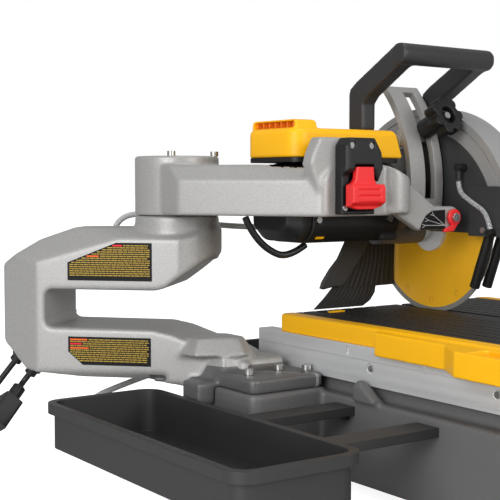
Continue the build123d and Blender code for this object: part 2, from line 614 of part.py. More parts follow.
with BuildPart() as motor_end_bell:
    with BuildSketch(side_plane(MOTOR_X1 + 33.8)):
        with Locations((0, MOTOR_Z)):
            RectangleRounded(2 * MOTOR_HALF - 4, 2 * MOTOR_HALF - 8, 28)
    extrude(amount=-14)
    with BuildSketch(side_plane(MOTOR_X1 + 19.9)):
        with Locations((0, MOTOR_Z)):
            RectangleRounded(2 * MOTOR_HALF - 4, 2 * MOTOR_HALF - 8, 28)
    extrude(amount=-19, taper=42)
save(motor_end_bell, "motor_end_bell")

with BuildPart() as cover_band:
    block(MOTOR_X1 + 2, MOTOR_X2 + 2, -58, 58, 101.2, COVER_Z - 0.1)
    fillet(cover_band.edges().filter_by(Axis.Z), 16)
save(cover_band, "cover_band")

SCOOP_Z = COVER_Z + 41.0
SCOOP_Y1, SCOOP_Y2 = -44.0, 50.0
with BuildPart() as motor_cover:
    with BuildSketch(front_plane(60)):
        with BuildLine():
            Polyline((MOTOR_X1, COVER_Z), (MOTOR_X1, COVER_Z + 40), (MOTOR_X2 - 12, COVER_Z + 40),
                     (MOTOR_X2 + 2, COVER_Z),
                     close=True)
        make_face()
    extrude(amount=120)
    fillet(motor_cover.faces().sort_by(Axis.X)[0].edges().filter_by(Axis.Z), 22)
    fillet(motor_cover.faces().sort_by(Axis.Z)[-1].edges(), 8)
    # air scoop that opens over the left end
    block(MOTOR_X1 + 10, MOTOR_X1 + 46, SCOOP_Y1 - 5, SCOOP_Y2 + 5, COVER_Z + 30, COVER_Z + 52)
    scoop_corners = motor_cover.edges().filter_by(Axis.X).sort_by(Axis.Z)[-2:]
    fillet(scoop_corners, 7)
    block(MOTOR_X1 + 9, MOTOR_X1 + 36, SCOOP_Y1, SCOOP_Y2, SCOOP_Z, SCOOP_Z + 8.5, Mode.SUBTRACT)
save(motor_cover, "motor_cover")

with BuildPart() as vent_insert:
    for rib_y in range(-36, 50, 14):
        block(MOTOR_X1 + 16, MOTOR_X1 + 35.6, rib_y, rib_y + 2, SCOOP_Z + 0.2, SCOOP_Z + 8.3)
    block(MOTOR_X1 + 35, MOTOR_X1 + 35.8, SCOOP_Y1, SCOOP_Y2, SCOOP_Z + 0.2, SCOOP_Z + 8.3)
save(vent_insert, "vent_insert")

with BuildPart() as motor_screws:
    for screw_x in MOTOR_SCREWS:
        along(screw_x, -MOTOR_HALF - 2.5, -MOTOR_HALF + 6, 22, 4.5)
save(motor_screws, "motor_screws")

with BuildPart() as gear_case:
    with BuildSketch(side_plane(MOTOR_X2 + 0.2)):
        with Locations((5, MOTOR_Z)):
            RectangleRounded(60, 92, 22)
        with Locations((0, 0)):
            Circle(19)
        with Locations((12, 22)):
            Rectangle(44, 44)
    extrude(amount=46)
    across(MOTOR_X2 + 46, -30, 0, 0, 19)
    # bridge from the gear case to the guard
    block(MOTOR_X2 + 20, -29.2, 4, 40, 20, 80)
    across(MOTOR_X2 + 10, -28, 0, 0, 12.05, Mode.SUBTRACT)
save(gear_case, "gear_case")

# ==== spindle, flanges and blade =============================================
with BuildPart() as spindle:
    across(MOTOR_X2 + 12, -12, 0, 0, 12)
    across(-12, 16, 0, 0, BORE_R)
save(spindle, "spindle")

with BuildPart() as blade_flanges:
    across(-8, -BLADE_T / 2, 0, 0, FLANGE_R)
    across(BLADE_T / 2, 8, 0, 0, FLANGE_R)
    across(-9, 9, 0, 0, BORE_R, Mode.SUBTRACT)
save(blade_flanges, "blade_flanges")

with BuildPart() as arbor_nut:
    with BuildSketch(side_plane(8)):
        RegularPolygon(15, 6)
        Circle(BORE_R, mode=Mode.SUBTRACT)
    extrude(amount=8)
save(arbor_nut, "arbor_nut")

with BuildPart() as blade:
    across(-BLADE_T / 2, BLADE_T / 2, 0, 0, BLADE_R)
    across(-BLADE_T, BLADE_T, 0, 0, BORE_R, Mode.SUBTRACT)
save(blade, "blade")

# ==== guard ===================================================================
GUARD_R, BAND_R = 186.0, 154.0
GROOVE_R = 174.0
GUARD_X = 25.0
GUARD_WALL = 3.5


def half_disc(x1, x2, r_out, r_in=0.0):
    """Upper half disc or half ring about the arbor axis."""
    with BuildSketch(side_plane(x1)) as half:
        with BuildLine():
            CenterArc((0, 0), r_out, 0, 180)
            if r_in:
                CenterArc((0, 0), r_in, 0, 180)
                Line((r_in, 0), (r_out, 0))
                Line((-r_out, 0), (-r_in, 0))
            else:
                Line((-r_out, 0), (r_out, 0))
        make_face()
    extrude(half.sketch, amount=x2 - x1)


with BuildPart() as guard_shell:
    half_disc(-GUARD_X, GUARD_X, GUARD_R, GUARD_R - 5)
    half_disc(-GUARD_X, -GUARD_X + GUARD_WALL, GUARD_R - 4, BAND_R)
    half_disc(GUARD_X - GUARD_WALL, GUARD_X, GUARD_R - 4, BAND_R)
    with BuildSketch(side_plane(-GUARD_X)):
        Circle(GROOVE_R + 1)
        Circle(GROOVE_R - 1, mode=Mode.SUBTRACT)
    extrude(amount=1.5, mode=Mode.SUBTRACT)
save(guard_shell, "guard_shell")

with BuildPart() as guard_side_plates:
    half_disc(-GUARD_X - 1.2, -GUARD_X + 2, BAND_R)
    half_disc(GUARD_X - 2, GUARD_X + 1.2, BAND_R)
    across(-GUARD_X - 2, -GUARD_X + 3, 0, 0, 21, Mode.SUBTRACT)
    across(GUARD_X - 3, GUARD_X + 2, 0, 0, 36, Mode.SUBTRACT)
    across(-40, 40, NOZZLE_Y, NOZZLE_Z, PIN_HOLE_R, Mode.SUBTRACT)
save(guard_side_plates, "guard_side_plates")

with BuildPart() as guard_front_panel:
    block(-31, -GUARD_X - 1.4, -190, -107, -4, 68)
    block(GUARD_X + 1.4, 31, -190, -107, -4, 68)
    block(-31, 31, -194, -GUARD_R - 0.5, -4, 66)
    across(-40, 40, NOZZLE_Y, NOZZLE_Z, PIN_HOLE_R, Mode.SUBTRACT)
save(guard_front_panel, "guard_front_panel")


def handle_leg(x1, x2, foot_z):
    """A handle leg: up from its foot, then forward to the grip."""
    with BuildSketch(side_plane(x1)) as leg:
        with BuildLine():
            Polyline((-35, foot_z), (-35, 186), (-44, 196), (-120, 240), (-120, 262), (-100, 262),
                     (-20, 218),
                     (-6, 208), (-4, 200), (-4, foot_z), close=True)
        make_face()
    extrude(leg.sketch, amount=x2 - x1)


with BuildPart() as carry_handle:
    handle_leg(-173, -148, 148.2)
    handle_leg(-30, -4, GUARD_R - 8)
    across(-31, -3, 0, 0, GUARD_R + 0.1, Mode.SUBTRACT)
    across(-176, -1, -112, 250, 15)
save(carry_handle, "carry_handle")

with BuildPart() as knob_stud:
    knob_plane = Plane(origin=(SLOT_X, PIVOT_Y, PIVOT_Z), x_dir=(1, 0, 0),
                       z_dir=(0, -cos(radians(KNOB_ANGLE)), sin(radians(KNOB_ANGLE))))
    with BuildSketch(knob_plane.offset(STRIP_R - STRIP_T - 22)):
        Circle(5)
    extrude(amount=86)
    with BuildSketch(knob_plane.offset(STRIP_R - STRIP_T - 22)):
        Rectangle(44, 26)
    extrude(amount=20)
    block(STRIP_X1 + 4, STRIP_X2 - 12, 2, 24, 91.2, 140)
    block(STRIP_X1 + 14, STRIP_X2 - 12, -14, 20, 124, 146)
save(knob_stud, "knob_stud")

with BuildPart() as depth_knob:
    with BuildSketch(knob_plane.offset(STRIP_R + 2)):
        Circle(15)
    extrude(amount=34)
    with BuildSketch(knob_plane.offset(STRIP_R + 35)):
        Circle(22)
        with PolarLocations(22, 7):
            Circle(7)
    extrude(amount=21)
    with BuildSketch(knob_plane.offset(STRIP_R + 44)):
        Circle(13)
    extrude(amount=14, mode=Mode.SUBTRACT)
    with BuildSketch(knob_plane.offset(STRIP_R)):
        Circle(5.05)
    extrude(amount=60, mode=Mode.SUBTRACT)
save(depth_knob, "depth_knob")

# ==== water delivery on the head ============================================
NOZZLE_LOW = Vector(0, -103, -81)
NOZZLE_R = 7.5


def nozzle(x):
    """A water nozzle: a round bar hanging beside the blade's front edge."""
    top = Vector(x, NOZZLE_Y, NOZZLE_Z)
    run = Vector(x, NOZZLE_LOW.Y, NOZZLE_LOW.Z) - top
    with BuildSketch(Plane(origin=top, z_dir=run)) as bar:
        Circle(NOZZLE_R)
    extrude(bar.sketch, amount=run.length)
    across(x - NOZZLE_R, x + NOZZLE_R, NOZZLE_Y, NOZZLE_Z, 9)
    across(x - 9, x + 9, NOZZLE_Y, NOZZLE_Z, PIN_R + 0.05, Mode.SUBTRACT)


for nozzle_name, nozzle_x in (("nozzle_left", -NOZZLE_X), ("nozzle_right", NOZZLE_X)):
    with BuildPart() as nozzle_part:
        nozzle(nozzle_x)
    save(nozzle_part, nozzle_name)

with BuildPart() as nozzle_pin:
    across(-33, 33, NOZZLE_Y, NOZZLE_Z, PIN_R)
save(nozzle_pin, "nozzle_pin")

HOSE_X = -38.0
with BuildPart() as hose_barb:
    across(HOSE_X - 4, -GUARD_X - 1.4, -93, 95, 6)
    upright(HOSE_X, -93, 76, 95, 4.5)
    across(HOSE_X - 5, -31.1, -156, 2, 5)
save(hose_barb, "hose_barb")

CLEAR_HOSE = [(HOSE_X, -93, 75.8), (HOSE_X, -93, 60), (HOSE_X, -122, 44), (HOSE_X, -150, 30),
              (HOSE_X, -156, 7.2)]
with BuildPart() as clear_hose:
    cord(CLEAR_HOSE, 3.5, 30)
save(clear_hose, "clear_hose")

# ==== splash control =========================================================
with BuildPart() as splash_deflector:
    with BuildSketch(front_plane(72)):
        with BuildLine():
            Polyline((-114, -11.2), (-62, -11.2), (-85, -44), (-105, -67), (-116, -81), (-124, -87),
                     (-141, -87),
                     (-160, -90), (-167, -88), (-163, -78), (-150, -61), (-133, -44), close=True)
        make_face()
    extrude(amount=4)
    block(-140, -122, 40, 72, -15, -11.2)
    block(-140, -100, 66, 72, -15, -11.2)
save(splash_deflector, "splash_deflector")

FLAP_RIBS = 12
with BuildPart() as rubber_flap:
    with BuildSketch(front_plane(80)):
        with BuildLine():
            Polyline((-106, -10.2), (-7, -10.2), (-7, -90), (-46, -90), (-48, -100), (-58, -112),
                     (-74, -120.5),
                     (-171, -120.5), (-152, -106), (-132, -88), (-108, -52), close=True)
        make_face()
    extrude(amount=4)
    for rib in range(FLAP_RIBS):
        top_x = -98 + rib * 5.4
        low_x = top_x * 1.25 - 20
        with BuildSketch(front_plane(77)):
            with BuildLine():
                Polyline((top_x, -14), (top_x + 1.6, -14), (low_x + 1.6, -88), (low_x, -88), close=True)
            make_face()
        extrude(amount=0.9)
save(rubber_flap, "rubber_flap")

# ==== motor lead =============================================================
LEAD_R = 5.0
LEAD_ROUTE = [(-344, 12, 25), (-336, 12, 8), (-310, 10, -20), (-275, 6, -34), (-247, 2, -15.2)]
with BuildPart() as motor_lead:
    cord(LEAD_ROUTE, LEAD_R, 40)
save(motor_lead, "motor_lead")

# ==== cart ===================================================================
with BuildPart() as cart_plate:
    block(RAIL_XL + TRIM_W + 1, RAIL_XR - TRIM_W - 1, CART_FRONT, CART_BACK, SLIDER_TOP, TABLE_Z - MAT_T)
    block(-5, 5, CART_FRONT + 30, CART_BACK + 1, SLIDER_TOP - 1, TABLE_Z, Mode.SUBTRACT)
save(cart_plate, "cart_plate")


def mat(x1, x2):
    """A rubber table mat with grooves along Y."""
    block(x1, x2, CART_FRONT + 24, CART_BACK - 2, TABLE_Z - MAT_T, TABLE_Z)
    count = int((x2 - x1 - 20) / 24)
    for groove in range(count):
        gx = x1 + 16 + groove * 24
        block(gx, gx + 4, CART_FRONT, CART_BACK, TABLE_Z - 2.5, TABLE_Z + 1, Mode.SUBTRACT)


with BuildPart() as cart_mats:
    mat(RAIL_XL + TRIM_W + 2, -6)
    mat(6, RAIL_XR - TRIM_W - 2)
save(cart_mats, "cart_mats")


def cart_slider(x_outer, side):
    """Upper extrusion fixed to the cart, with oval slots in its outer face."""
    low, high = sorted((x_outer, x_outer + side * (TRIM_W - 1)))
    block(low, high, -560, FRAME_BACK, RAIL_TOP + SLIDE_GAP, SLIDER_TOP)
    for slot_y in (-88, -238, -440):
        with BuildSketch(side_plane(x_outer - side * 1)) as oval:
            with Locations((slot_y, (RAIL_TOP + SLIDER_TOP) / 2)):
                SlotOverall(13, 6, rotation=90)
        extrude(oval.sketch, amount=side * 5, mode=Mode.SUBTRACT)


with BuildPart() as cart_sliders:
    cart_slider(RAIL_XL, 1)
    cart_slider(RAIL_XR, -1)
save(cart_sliders, "cart_sliders")

with BuildPart() as glide_shoes:
    for x_outer, side in ((RAIL_XL, 1), (RAIL_XR, -1)):
        inner = x_outer + side * RAIL_W
        for shoe_y in (-520, -60, 90):
            low, high = sorted((inner - side * 16, inner + side * 5))
            block(low, high, shoe_y, shoe_y + 30, RAIL_TOP - 24.5, RAIL_TOP - 9.5)
            web_low, web_high = sorted((inner + side * 0.5, inner + side * 5))
            block(web_low, web_high, shoe_y, shoe_y + 30, RAIL_TOP - 24.5, SLIDER_TOP - 2)
            tie_low, tie_high = sorted((x_outer + side * (TRIM_W - 1), inner + side * 5))
            block(tie_low, tie_high, shoe_y, shoe_y + 30, SLIDER_TOP - 10, SLIDER_TOP - 2)
save(glide_shoes, "glide_shoes")

with BuildPart() as left_trim:
    block(RAIL_XL + 3, RAIL_XL + TRIM_W + 1, CART_FRONT, CART_BACK, SLIDER_TOP, TRIM_TOP)
    fillet(left_trim.edges().filter_by(Axis.Z).sort_by(Axis.X)[:2], 12)
    fillet(left_trim.faces().sort_by(Axis.Z)[-1].edges().sort_by(Axis.X)[0], 4)
    # side handle with a finger recess
    with BuildSketch(Plane.XY.offset(SLIDER_TOP - 8)):
        with BuildLine():
            Polyline((RAIL_XL - 0.5, -148), (RAIL_XL - 11, -156), (RAIL_XL - 15, -290),
                     (RAIL_XL - 44, -334),
                     (RAIL_XL - 50, -500), (RAIL_XL - 0.5, -545), close=True)
        make_face()
    extrude(amount=TRIM_TOP - 3 - SLIDER_TOP + 8)
    block(RAIL_XL - 2, RAIL_XL + 5, -545, -150, SLIDER_TOP, TRIM_TOP - 3)
    block(RAIL_XL - 38, RAIL_XL - 4, -495, -350, TRIM_TOP - 17, TRIM_TOP + 1, Mode.SUBTRACT)
save(left_trim, "left_trim")

with BuildPart() as right_trim:
    block(RAIL_XR - TRIM_W - 1, RAIL_XR - 3, CART_FRONT, CART_BACK, SLIDER_TOP, TRIM_TOP)
    fillet(right_trim.edges().filter_by(Axis.Z).sort_by(Axis.X)[-2:], 12)
    fillet(right_trim.faces().sort_by(Axis.Z)[-1].edges().sort_by(Axis.X)[-1], 4)
save(right_trim, "right_trim")

FENCE_TOP = TABLE_Z + 22.0
with BuildPart() as fence_bar:
    block(RAIL_XL + TRIM_W + 2, RAIL_XR - TRIM_W - 2, CART_FRONT, CART_FRONT + 23, TABLE_Z - MAT_T,
          FENCE_TOP)
    block(-4, 4, CART_FRONT + 10, CART_FRONT + 24, TABLE_Z - MAT_T - 1, FENCE_TOP + 1, Mode.SUBTRACT)
save(fence_bar, "fence_bar")

GUIDE_X = 60.0
with BuildPart() as edge_guide:
    block(GUIDE_X, GUIDE_X + 34, CART_FRONT - 8, CART_FRONT + 110, FENCE_TOP + 0.3, FENCE_TOP + 8)
    block(GUIDE_X, GUIDE_X + 8, CART_FRONT + 23.4, CART_FRONT + 110, TABLE_Z + 0.6, FENCE_TOP + 4)
    block(GUIDE_X, GUIDE_X + 34, CART_FRONT - 8, CART_FRONT - 0.3, TABLE_Z - MAT_T, FENCE_TOP + 4)
    upright(GUIDE_X + 20, CART_FRONT + 11, FENCE_TOP + 8, FENCE_TOP + 20, 12)
save(edge_guide, "edge_guide")

# ==== mains cord and pump lead ===============================================
CORD_R = 4.5


def gland(start):
    """A ribbed rubber gland around a cord's exit."""
    with BuildSketch(Plane(origin=start - GLAND_DIR * 8, z_dir=GLAND_DIR)) as body:
        Circle(GLAND_R)
    extrude(body.sketch, amount=8 + GLAND_REACH)
    with BuildSketch(Plane(origin=start + GLAND_DIR * 0.3, z_dir=GLAND_DIR)) as collar:
        Circle(GLAND_R + 3)
    extrude(collar.sketch, amount=4)


with BuildPart() as cord_glands:
    gland(POWER_EXIT)
    gland(PUMP_EXIT)
save(cord_glands, "cord_glands")

COIL_R = 60.0
COIL_X, COIL_Y = -700.0, 470.0
REST_Z = FLOOR_Z + CORD_R + 1
power_start = POWER_EXIT + GLAND_DIR * (GLAND_REACH + 0.1)
power_bend = power_start + GLAND_DIR * 32
POWER_ROUTE = [tuple(power_start), tuple(power_bend), (-600, 350, -268), (-628, 368, -312),
               (-662, 386, REST_Z), (-700, 408, REST_Z)]
with BuildPart() as power_cord:
    cord(POWER_ROUTE, CORD_R, 45)
save(power_cord, "power_cord")

with BuildPart() as power_cord_coil:
    with BuildSketch(Plane.XY.offset(FLOOR_Z)):
        with Locations((COIL_X, COIL_Y)):
            Circle(COIL_R + CORD_R)
            Circle(COIL_R - 4 * CORD_R, mode=Mode.SUBTRACT)
    extrude(amount=3 * CORD_R)
save(power_cord_coil, "power_cord_coil")

with BuildPart() as power_plug:
    block(COIL_X + 66, COIL_X + 100, COIL_Y + 10, COIL_Y + 32, FLOOR_Z, FLOOR_Z + 26)
    fillet(power_plug.edges().filter_by(Axis.X), 5)
    for pin_z in (8, 18):
        across(COIL_X + 99, COIL_X + 118, COIL_Y + 21, FLOOR_Z + pin_z, 2)
save(power_plug, "power_plug")

pump_start = PUMP_EXIT + GLAND_DIR * (GLAND_REACH + 0.1)
pump_bend = pump_start + GLAND_DIR * 14
PUMP_END = Vector(-556, 306, -236)
PUMP_ROUTE = [tuple(pump_start), tuple(pump_bend), tuple(PUMP_END)]
socket_dir = (PUMP_END - pump_bend).normalized()
with BuildPart() as pump_pigtail:
    cord(PUMP_ROUTE, CORD_R, 40)
    # moulded strain relief and receptacle
    with BuildSketch(Plane(origin=PUMP_END - socket_dir * 2, z_dir=socket_dir)):
        Circle(10)
    extrude(amount=28)
    with BuildSketch(Plane(origin=PUMP_END + socket_dir * 22, x_dir=(0.33, 0.94, 0), z_dir=socket_dir)):
        RectangleRounded(40, 30, 5)
    extrude(amount=48)
save(pump_pigtail, "pump_pigtail")

# ==== water hoses ============================================================
HOSE_R = 4.5
SUPPLY_ROUTE = [(-375.3, 62, -306), (-420, 64, -306), (-484, 128, -310), (-516, 196, -292),
                (-478, 240, -252), (-404, 240, -232), (-356, 222, -216)]
with BuildPart() as supply_hose:
    cord(SUPPLY_ROUTE, HOSE_R, 45)
save(supply_hose, "supply_hose")

HEAD_ROUTE = [(-405, 277, 6), (-396, 275, 22), (-360, 262, 26), (-312, 226, 14), (-258, 188, 6),
              (-204, 150, 4), (-150, 108, 6), (-101, 70, 17), (-101, 35.4, 17)]
with BuildPart() as head_hose:
    cord(HEAD_ROUTE, HOSE_R, 45)
save(head_hose, "head_hose")
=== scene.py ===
import math
import random

import bmesh
import bpy
from mathutils import Matrix, Vector


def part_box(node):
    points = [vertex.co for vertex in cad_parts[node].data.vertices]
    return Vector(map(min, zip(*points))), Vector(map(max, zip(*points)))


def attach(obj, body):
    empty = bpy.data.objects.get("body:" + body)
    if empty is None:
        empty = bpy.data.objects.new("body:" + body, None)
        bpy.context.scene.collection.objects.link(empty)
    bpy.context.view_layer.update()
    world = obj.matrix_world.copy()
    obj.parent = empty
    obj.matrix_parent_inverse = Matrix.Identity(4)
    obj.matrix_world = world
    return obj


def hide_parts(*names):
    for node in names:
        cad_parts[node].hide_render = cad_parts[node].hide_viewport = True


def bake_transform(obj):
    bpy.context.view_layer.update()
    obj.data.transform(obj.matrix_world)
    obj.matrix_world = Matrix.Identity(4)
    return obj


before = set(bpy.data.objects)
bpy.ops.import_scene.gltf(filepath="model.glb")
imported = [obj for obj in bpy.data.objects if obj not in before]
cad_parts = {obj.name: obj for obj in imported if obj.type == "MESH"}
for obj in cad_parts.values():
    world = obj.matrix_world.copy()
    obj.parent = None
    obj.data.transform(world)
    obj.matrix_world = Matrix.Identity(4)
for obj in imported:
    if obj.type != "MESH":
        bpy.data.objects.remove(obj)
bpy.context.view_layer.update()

# Working points below are millimetres from the blade's centre, as in the part's source:
# +X to the operator's right, +Y away from the operator, +Z up.
blade_low, blade_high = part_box("blade")
ARBOR = (blade_low + blade_high) / 2
MM = 0.001


def at(x, y, z):
    """A working point in the row frame, in metres."""
    return ARBOR + Vector((x, y, z)) * MM


# ---- materials ---------------------------------------------------------------
def new_material(name):
    mat = bpy.data.materials.new(name)
    mat.use_nodes = True
    return mat, mat.node_tree.nodes, mat.node_tree.links


def noise(nodes, links, scale, detail=4.0, coords="Object"):
    tex = nodes.new("ShaderNodeTexNoise")
    tex.inputs["Scale"].default_value = scale
    tex.inputs["Detail"].default_value = detail
    where = nodes.new("ShaderNodeTexCoord")
    links.new(where.outputs[coords], tex.inputs["Vector"])
    return tex


def ramp(nodes, links, source, stops):
    node = nodes.new("ShaderNodeValToRGB")
    links.new(source, node.inputs["Fac"])
    element = node.color_ramp.elements
    element[0].position, element[0].color = stops[0]
    element[1].position, element[1].color = stops[-1]
    for place, colour in stops[1:-1]:
        extra = element.new(place)
        extra.color = colour
    return node


def shade(colour, factor):
    return tuple(min(1.0, c * factor) for c in colour[:3]) + (1.0,)


def surface(name, colour, rough=0.5, metal=0.0, grain=900.0, speckle=0.0, bump=0.0, coat=0.0,
            variation=0.06, edge=0.0006, spec=0.5, smear=8.0):
    """A moulded, cast or painted surface: fine grain, soft colour drift and rounded edges."""
    mat, nodes, links = new_material(name)
    shader = nodes["Principled BSDF"]
    shader.inputs["Metallic"].default_value = metal
    shader.inputs["Coat Weight"].default_value = coat
    shader.inputs["Coat Roughness"].default_value = 0.25
    shader.inputs["Specular IOR Level"].default_value = spec
    fine = noise(nodes, links, grain, 5.0)
    broad = noise(nodes, links, smear, 3.0)
    drift = ramp(nodes, links, broad.outputs["Fac"],
                 [(0.3, shade(colour, 1 - variation)), (0.7, shade(colour, 1 + variation))])
    fleck = ramp(nodes, links, fine.outputs["Fac"],
                 [(0.35, shade((1, 1, 1), 1 - speckle)), (0.62, (1, 1, 1, 1))])
    mix = nodes.new("ShaderNodeMix")
    mix.data_type = "RGBA"
    mix.blend_type = "MULTIPLY"
    mix.inputs["Factor"].default_value = 1.0
    links.new(drift.outputs["Color"], mix.inputs["A"])
    links.new(fleck.outputs["Color"], mix.inputs["B"])
    links.new(mix.outputs["Result"], shader.inputs["Base Color"])
    gloss = nodes.new("ShaderNodeMapRange")
    gloss.inputs["To Min"].default_value = max(0.02, rough - 0.08)
    gloss.inputs["To Max"].default_value = min(1.0, rough + 0.08)
    links.new(broad.outputs["Fac"], gloss.inputs["Value"])
    links.new(gloss.outputs["Result"], shader.inputs["Roughness"])
    height = nodes.new("ShaderNodeBump")
    height.inputs["Strength"].default_value = bump
    height.inputs["Distance"].default_value = 0.0004
    links.new(fine.outputs["Fac"], height.inputs["Height"])
    if edge:
        rounded = nodes.new("ShaderNodeBevel")
        rounded.inputs["Radius"].default_value = edge
        rounded.samples = 4
        links.new(rounded.outputs["Normal"], height.inputs["Normal"])
    links.new(height.outputs["Normal"], shader.inputs["Normal"])
    return mat


def brushed(name, colour, rough, stretch, edge=0.0004):
    """Extruded or brushed metal, with fine lines along one axis."""
    mat, nodes, links = new_material(name)
    shader = nodes["Principled BSDF"]
    shader.inputs["Metallic"].default_value = 0.55
    where = nodes.new("ShaderNodeTexCoord")
    scale = nodes.new("ShaderNodeMapping")
    scale.inputs["Scale"].default_value = stretch
    links.new(where.outputs["Object"], scale.inputs["Vector"])
    lines = nodes.new("ShaderNodeTexNoise")
    lines.inputs["Scale"].default_value = 60.0
    lines.inputs["Detail"].default_value = 6.0
    links.new(scale.outputs["Vector"], lines.inputs["Vector"])
    tone = ramp(nodes, links, lines.outputs["Fac"], [(0.3, shade(colour, 0.9)), (0.7, shade(colour, 1.05))])
    links.new(tone.outputs["Color"], shader.inputs["Base Color"])
    gloss = nodes.new("ShaderNodeMapRange")
    gloss.inputs["To Min"].default_value = rough - 0.07
    gloss.inputs["To Max"].default_value = rough + 0.07
    links.new(lines.outputs["Fac"], gloss.inputs["Value"])
    links.new(gloss.outputs["Result"], shader.inputs["Roughness"])
    height = nodes.new("ShaderNodeBump")
    height.inputs["Strength"].default_value = 0.08
    height.inputs["Distance"].default_value = 0.0002
    links.new(lines.outputs["Fac"], height.inputs["Height"])
    rounded = nodes.new("ShaderNodeBevel")
    rounded.inputs["Radius"].default_value = edge
    rounded.samples = 4
    links.new(rounded.outputs["Normal"], height.inputs["Normal"])
    links.new(height.outputs["Normal"], shader.inputs["Normal"])
    return mat


def blade_paint():
    """Yellow paint inside a bare grey diamond rim, by distance from the arbor."""
    mat, nodes, links = new_material("blade_paint")
    shader = nodes["Principled BSDF"]
    where = nodes.new("ShaderNodeTexCoord")
    shift = nodes.new("ShaderNodeVectorMath")
    shift.operation = "SUBTRACT"
    shift.inputs[1].default_value = ARBOR
    links.new(where.outputs["Object"], shift.inputs[0])
    length = nodes.new("ShaderNodeVectorMath")
    length.operation = "LENGTH"
    links.new(shift.outputs["Vector"], length.inputs[0])
    grit = noise(nodes, links, 900, 4)
    edge = nodes.new("ShaderNodeMath")
    edge.operation = "GREATER_THAN"
    edge.inputs[1].default_value = BLADE_PAINT_R
    links.new(length.outputs["Value"], edge.inputs[0])
    rim = ramp(nodes, links, grit.outputs["Fac"],
               [(0.3, (0.16, 0.15, 0.14, 1)), (0.7, (0.32, 0.31, 0.29, 1))])
    paint = ramp(nodes, links, noise(nodes, links, 20, 3).outputs["Fac"],
                 [(0.3, (0.93, 0.47, 0.012, 1)), (0.7, (1.0, 0.53, 0.02, 1))])
    mix = nodes.new("ShaderNodeMix")
    mix.data_type = "RGBA"
    links.new(edge.outputs["Value"], mix.inputs["Factor"])
    links.new(paint.outputs["Color"], mix.inputs["A"])
    links.new(rim.outputs["Color"], mix.inputs["B"])
    links.new(mix.outputs["Result"], shader.inputs["Base Color"])
    shader.inputs["Roughness"].default_value = 0.42
    height = nodes.new("ShaderNodeBump")
    height.inputs["Strength"].default_value = 0.12
    height.inputs["Distance"].default_value = 0.0003
    links.new(grit.outputs["Fac"], height.inputs["Height"])
    links.new(height.outputs["Normal"], shader.inputs["Normal"])
    return mat


def two_tone_casting():
    """Speckled silver arm whose foot and knuckle are dark, split by position on the casting."""
    mat, nodes, links = new_material("arm_casting")
    shader = nodes["Principled BSDF"]
    shader.inputs["Metallic"].default_value = 0.25
    shader.inputs["Roughness"].default_value = 0.42
    where = nodes.new("ShaderNodeTexCoord")
    shift = nodes.new("ShaderNodeVectorMath")
    shift.operation = "SUBTRACT"
    shift.inputs[1].default_value = at(BOSS[0], BOSS[1], 0)
    links.new(where.outputs["Object"], shift.inputs[0])

    def compared(direction, operation, limit_mm):
        """1 where the distance along direction is on the wanted side of the limit."""
        dot = nodes.new("ShaderNodeVectorMath")
        dot.operation = "DOT_PRODUCT"
        dot.inputs[1].default_value = direction
        links.new(shift.outputs["Vector"], dot.inputs[0])
        test = nodes.new("ShaderNodeMath")
        test.operation = operation
        test.inputs[1].default_value = limit_mm * MM
        links.new(dot.outputs["Value"], test.inputs[0])
        return test.outputs["Value"]

    def joined(operation, first, second):
        node = nodes.new("ShaderNodeMath")
        node.operation = operation
        links.new(first, node.inputs[0])
        links.new(second, node.inputs[1])
        return node.outputs["Value"]

    proud = compared(ARM_FACE, "GREATER_THAN", HALF_ARM + 2)
    behind = compared(ARM_FACE, "LESS_THAN", HALF_ARM - 2)
    inner = compared(ARM_AXIS, "LESS_THAN", 25)
    low = compared(Vector((0, 0, 1)), "LESS_THAN", -186)
    foot = joined("MULTIPLY", behind, inner)
    mask = joined("MULTIPLY", joined("MAXIMUM", proud, foot), low)
    fine = noise(nodes, links, 800, 5)
    light = ramp(nodes, links, fine.outputs["Fac"],
                 [(0.35, shade(SILVER_COLOUR, 0.74)), (0.62, shade(SILVER_COLOUR, 1.02))])
    dark = ramp(nodes, links, fine.outputs["Fac"],
                [(0.35, shade(FOOT_COLOUR, 0.7)), (0.62, (*FOOT_COLOUR, 1))])
    mix = nodes.new("ShaderNodeMix")
    mix.data_type = "RGBA"
    links.new(mask, mix.inputs["Factor"])
    links.new(light.outputs["Color"], mix.inputs["A"])
    links.new(dark.outputs["Color"], mix.inputs["B"])
    links.new(mix.outputs["Result"], shader.inputs["Base Color"])
    height = nodes.new("ShaderNodeBump")
    height.inputs["Strength"].default_value = 0.35
    height.inputs["Distance"].default_value = 0.0004
    links.new(fine.outputs["Fac"], height.inputs["Height"])
    links.new(height.outputs["Normal"], shader.inputs["Normal"])
    return mat


def ridged_rubber():
    """Black matting with broad ridges across the cart, its grooves painted darker as painted shade."""
    mat, nodes, links = new_material("ridged_rubber")
    shader = nodes["Principled BSDF"]
    shader.inputs["Roughness"].default_value = 0.6
    where = nodes.new("ShaderNodeTexCoord")
    ridges = nodes.new("ShaderNodeTexWave")
    ridges.bands_direction = "X"
    ridges.inputs["Scale"].default_value = 26.0
    links.new(where.outputs["Object"], ridges.inputs["Vector"])
    # painted shade: the colour follows the ridge waves, darker in the grooves and lighter on the ridge tops
    tone = ramp(nodes, links, ridges.outputs["Fac"],
                [(0.25, (0.006, 0.006, 0.006, 1)), (0.8, (0.018, 0.018, 0.018, 1))])
    links.new(tone.outputs["Color"], shader.inputs["Base Color"])
    height = nodes.new("ShaderNodeBump")
    height.inputs["Strength"].default_value = 0.6
    height.inputs["Distance"].default_value = 0.0012
    links.new(ridges.outputs["Fac"], height.inputs["Height"])
    links.new(height.outputs["Normal"], shader.inputs["Normal"])
    return mat


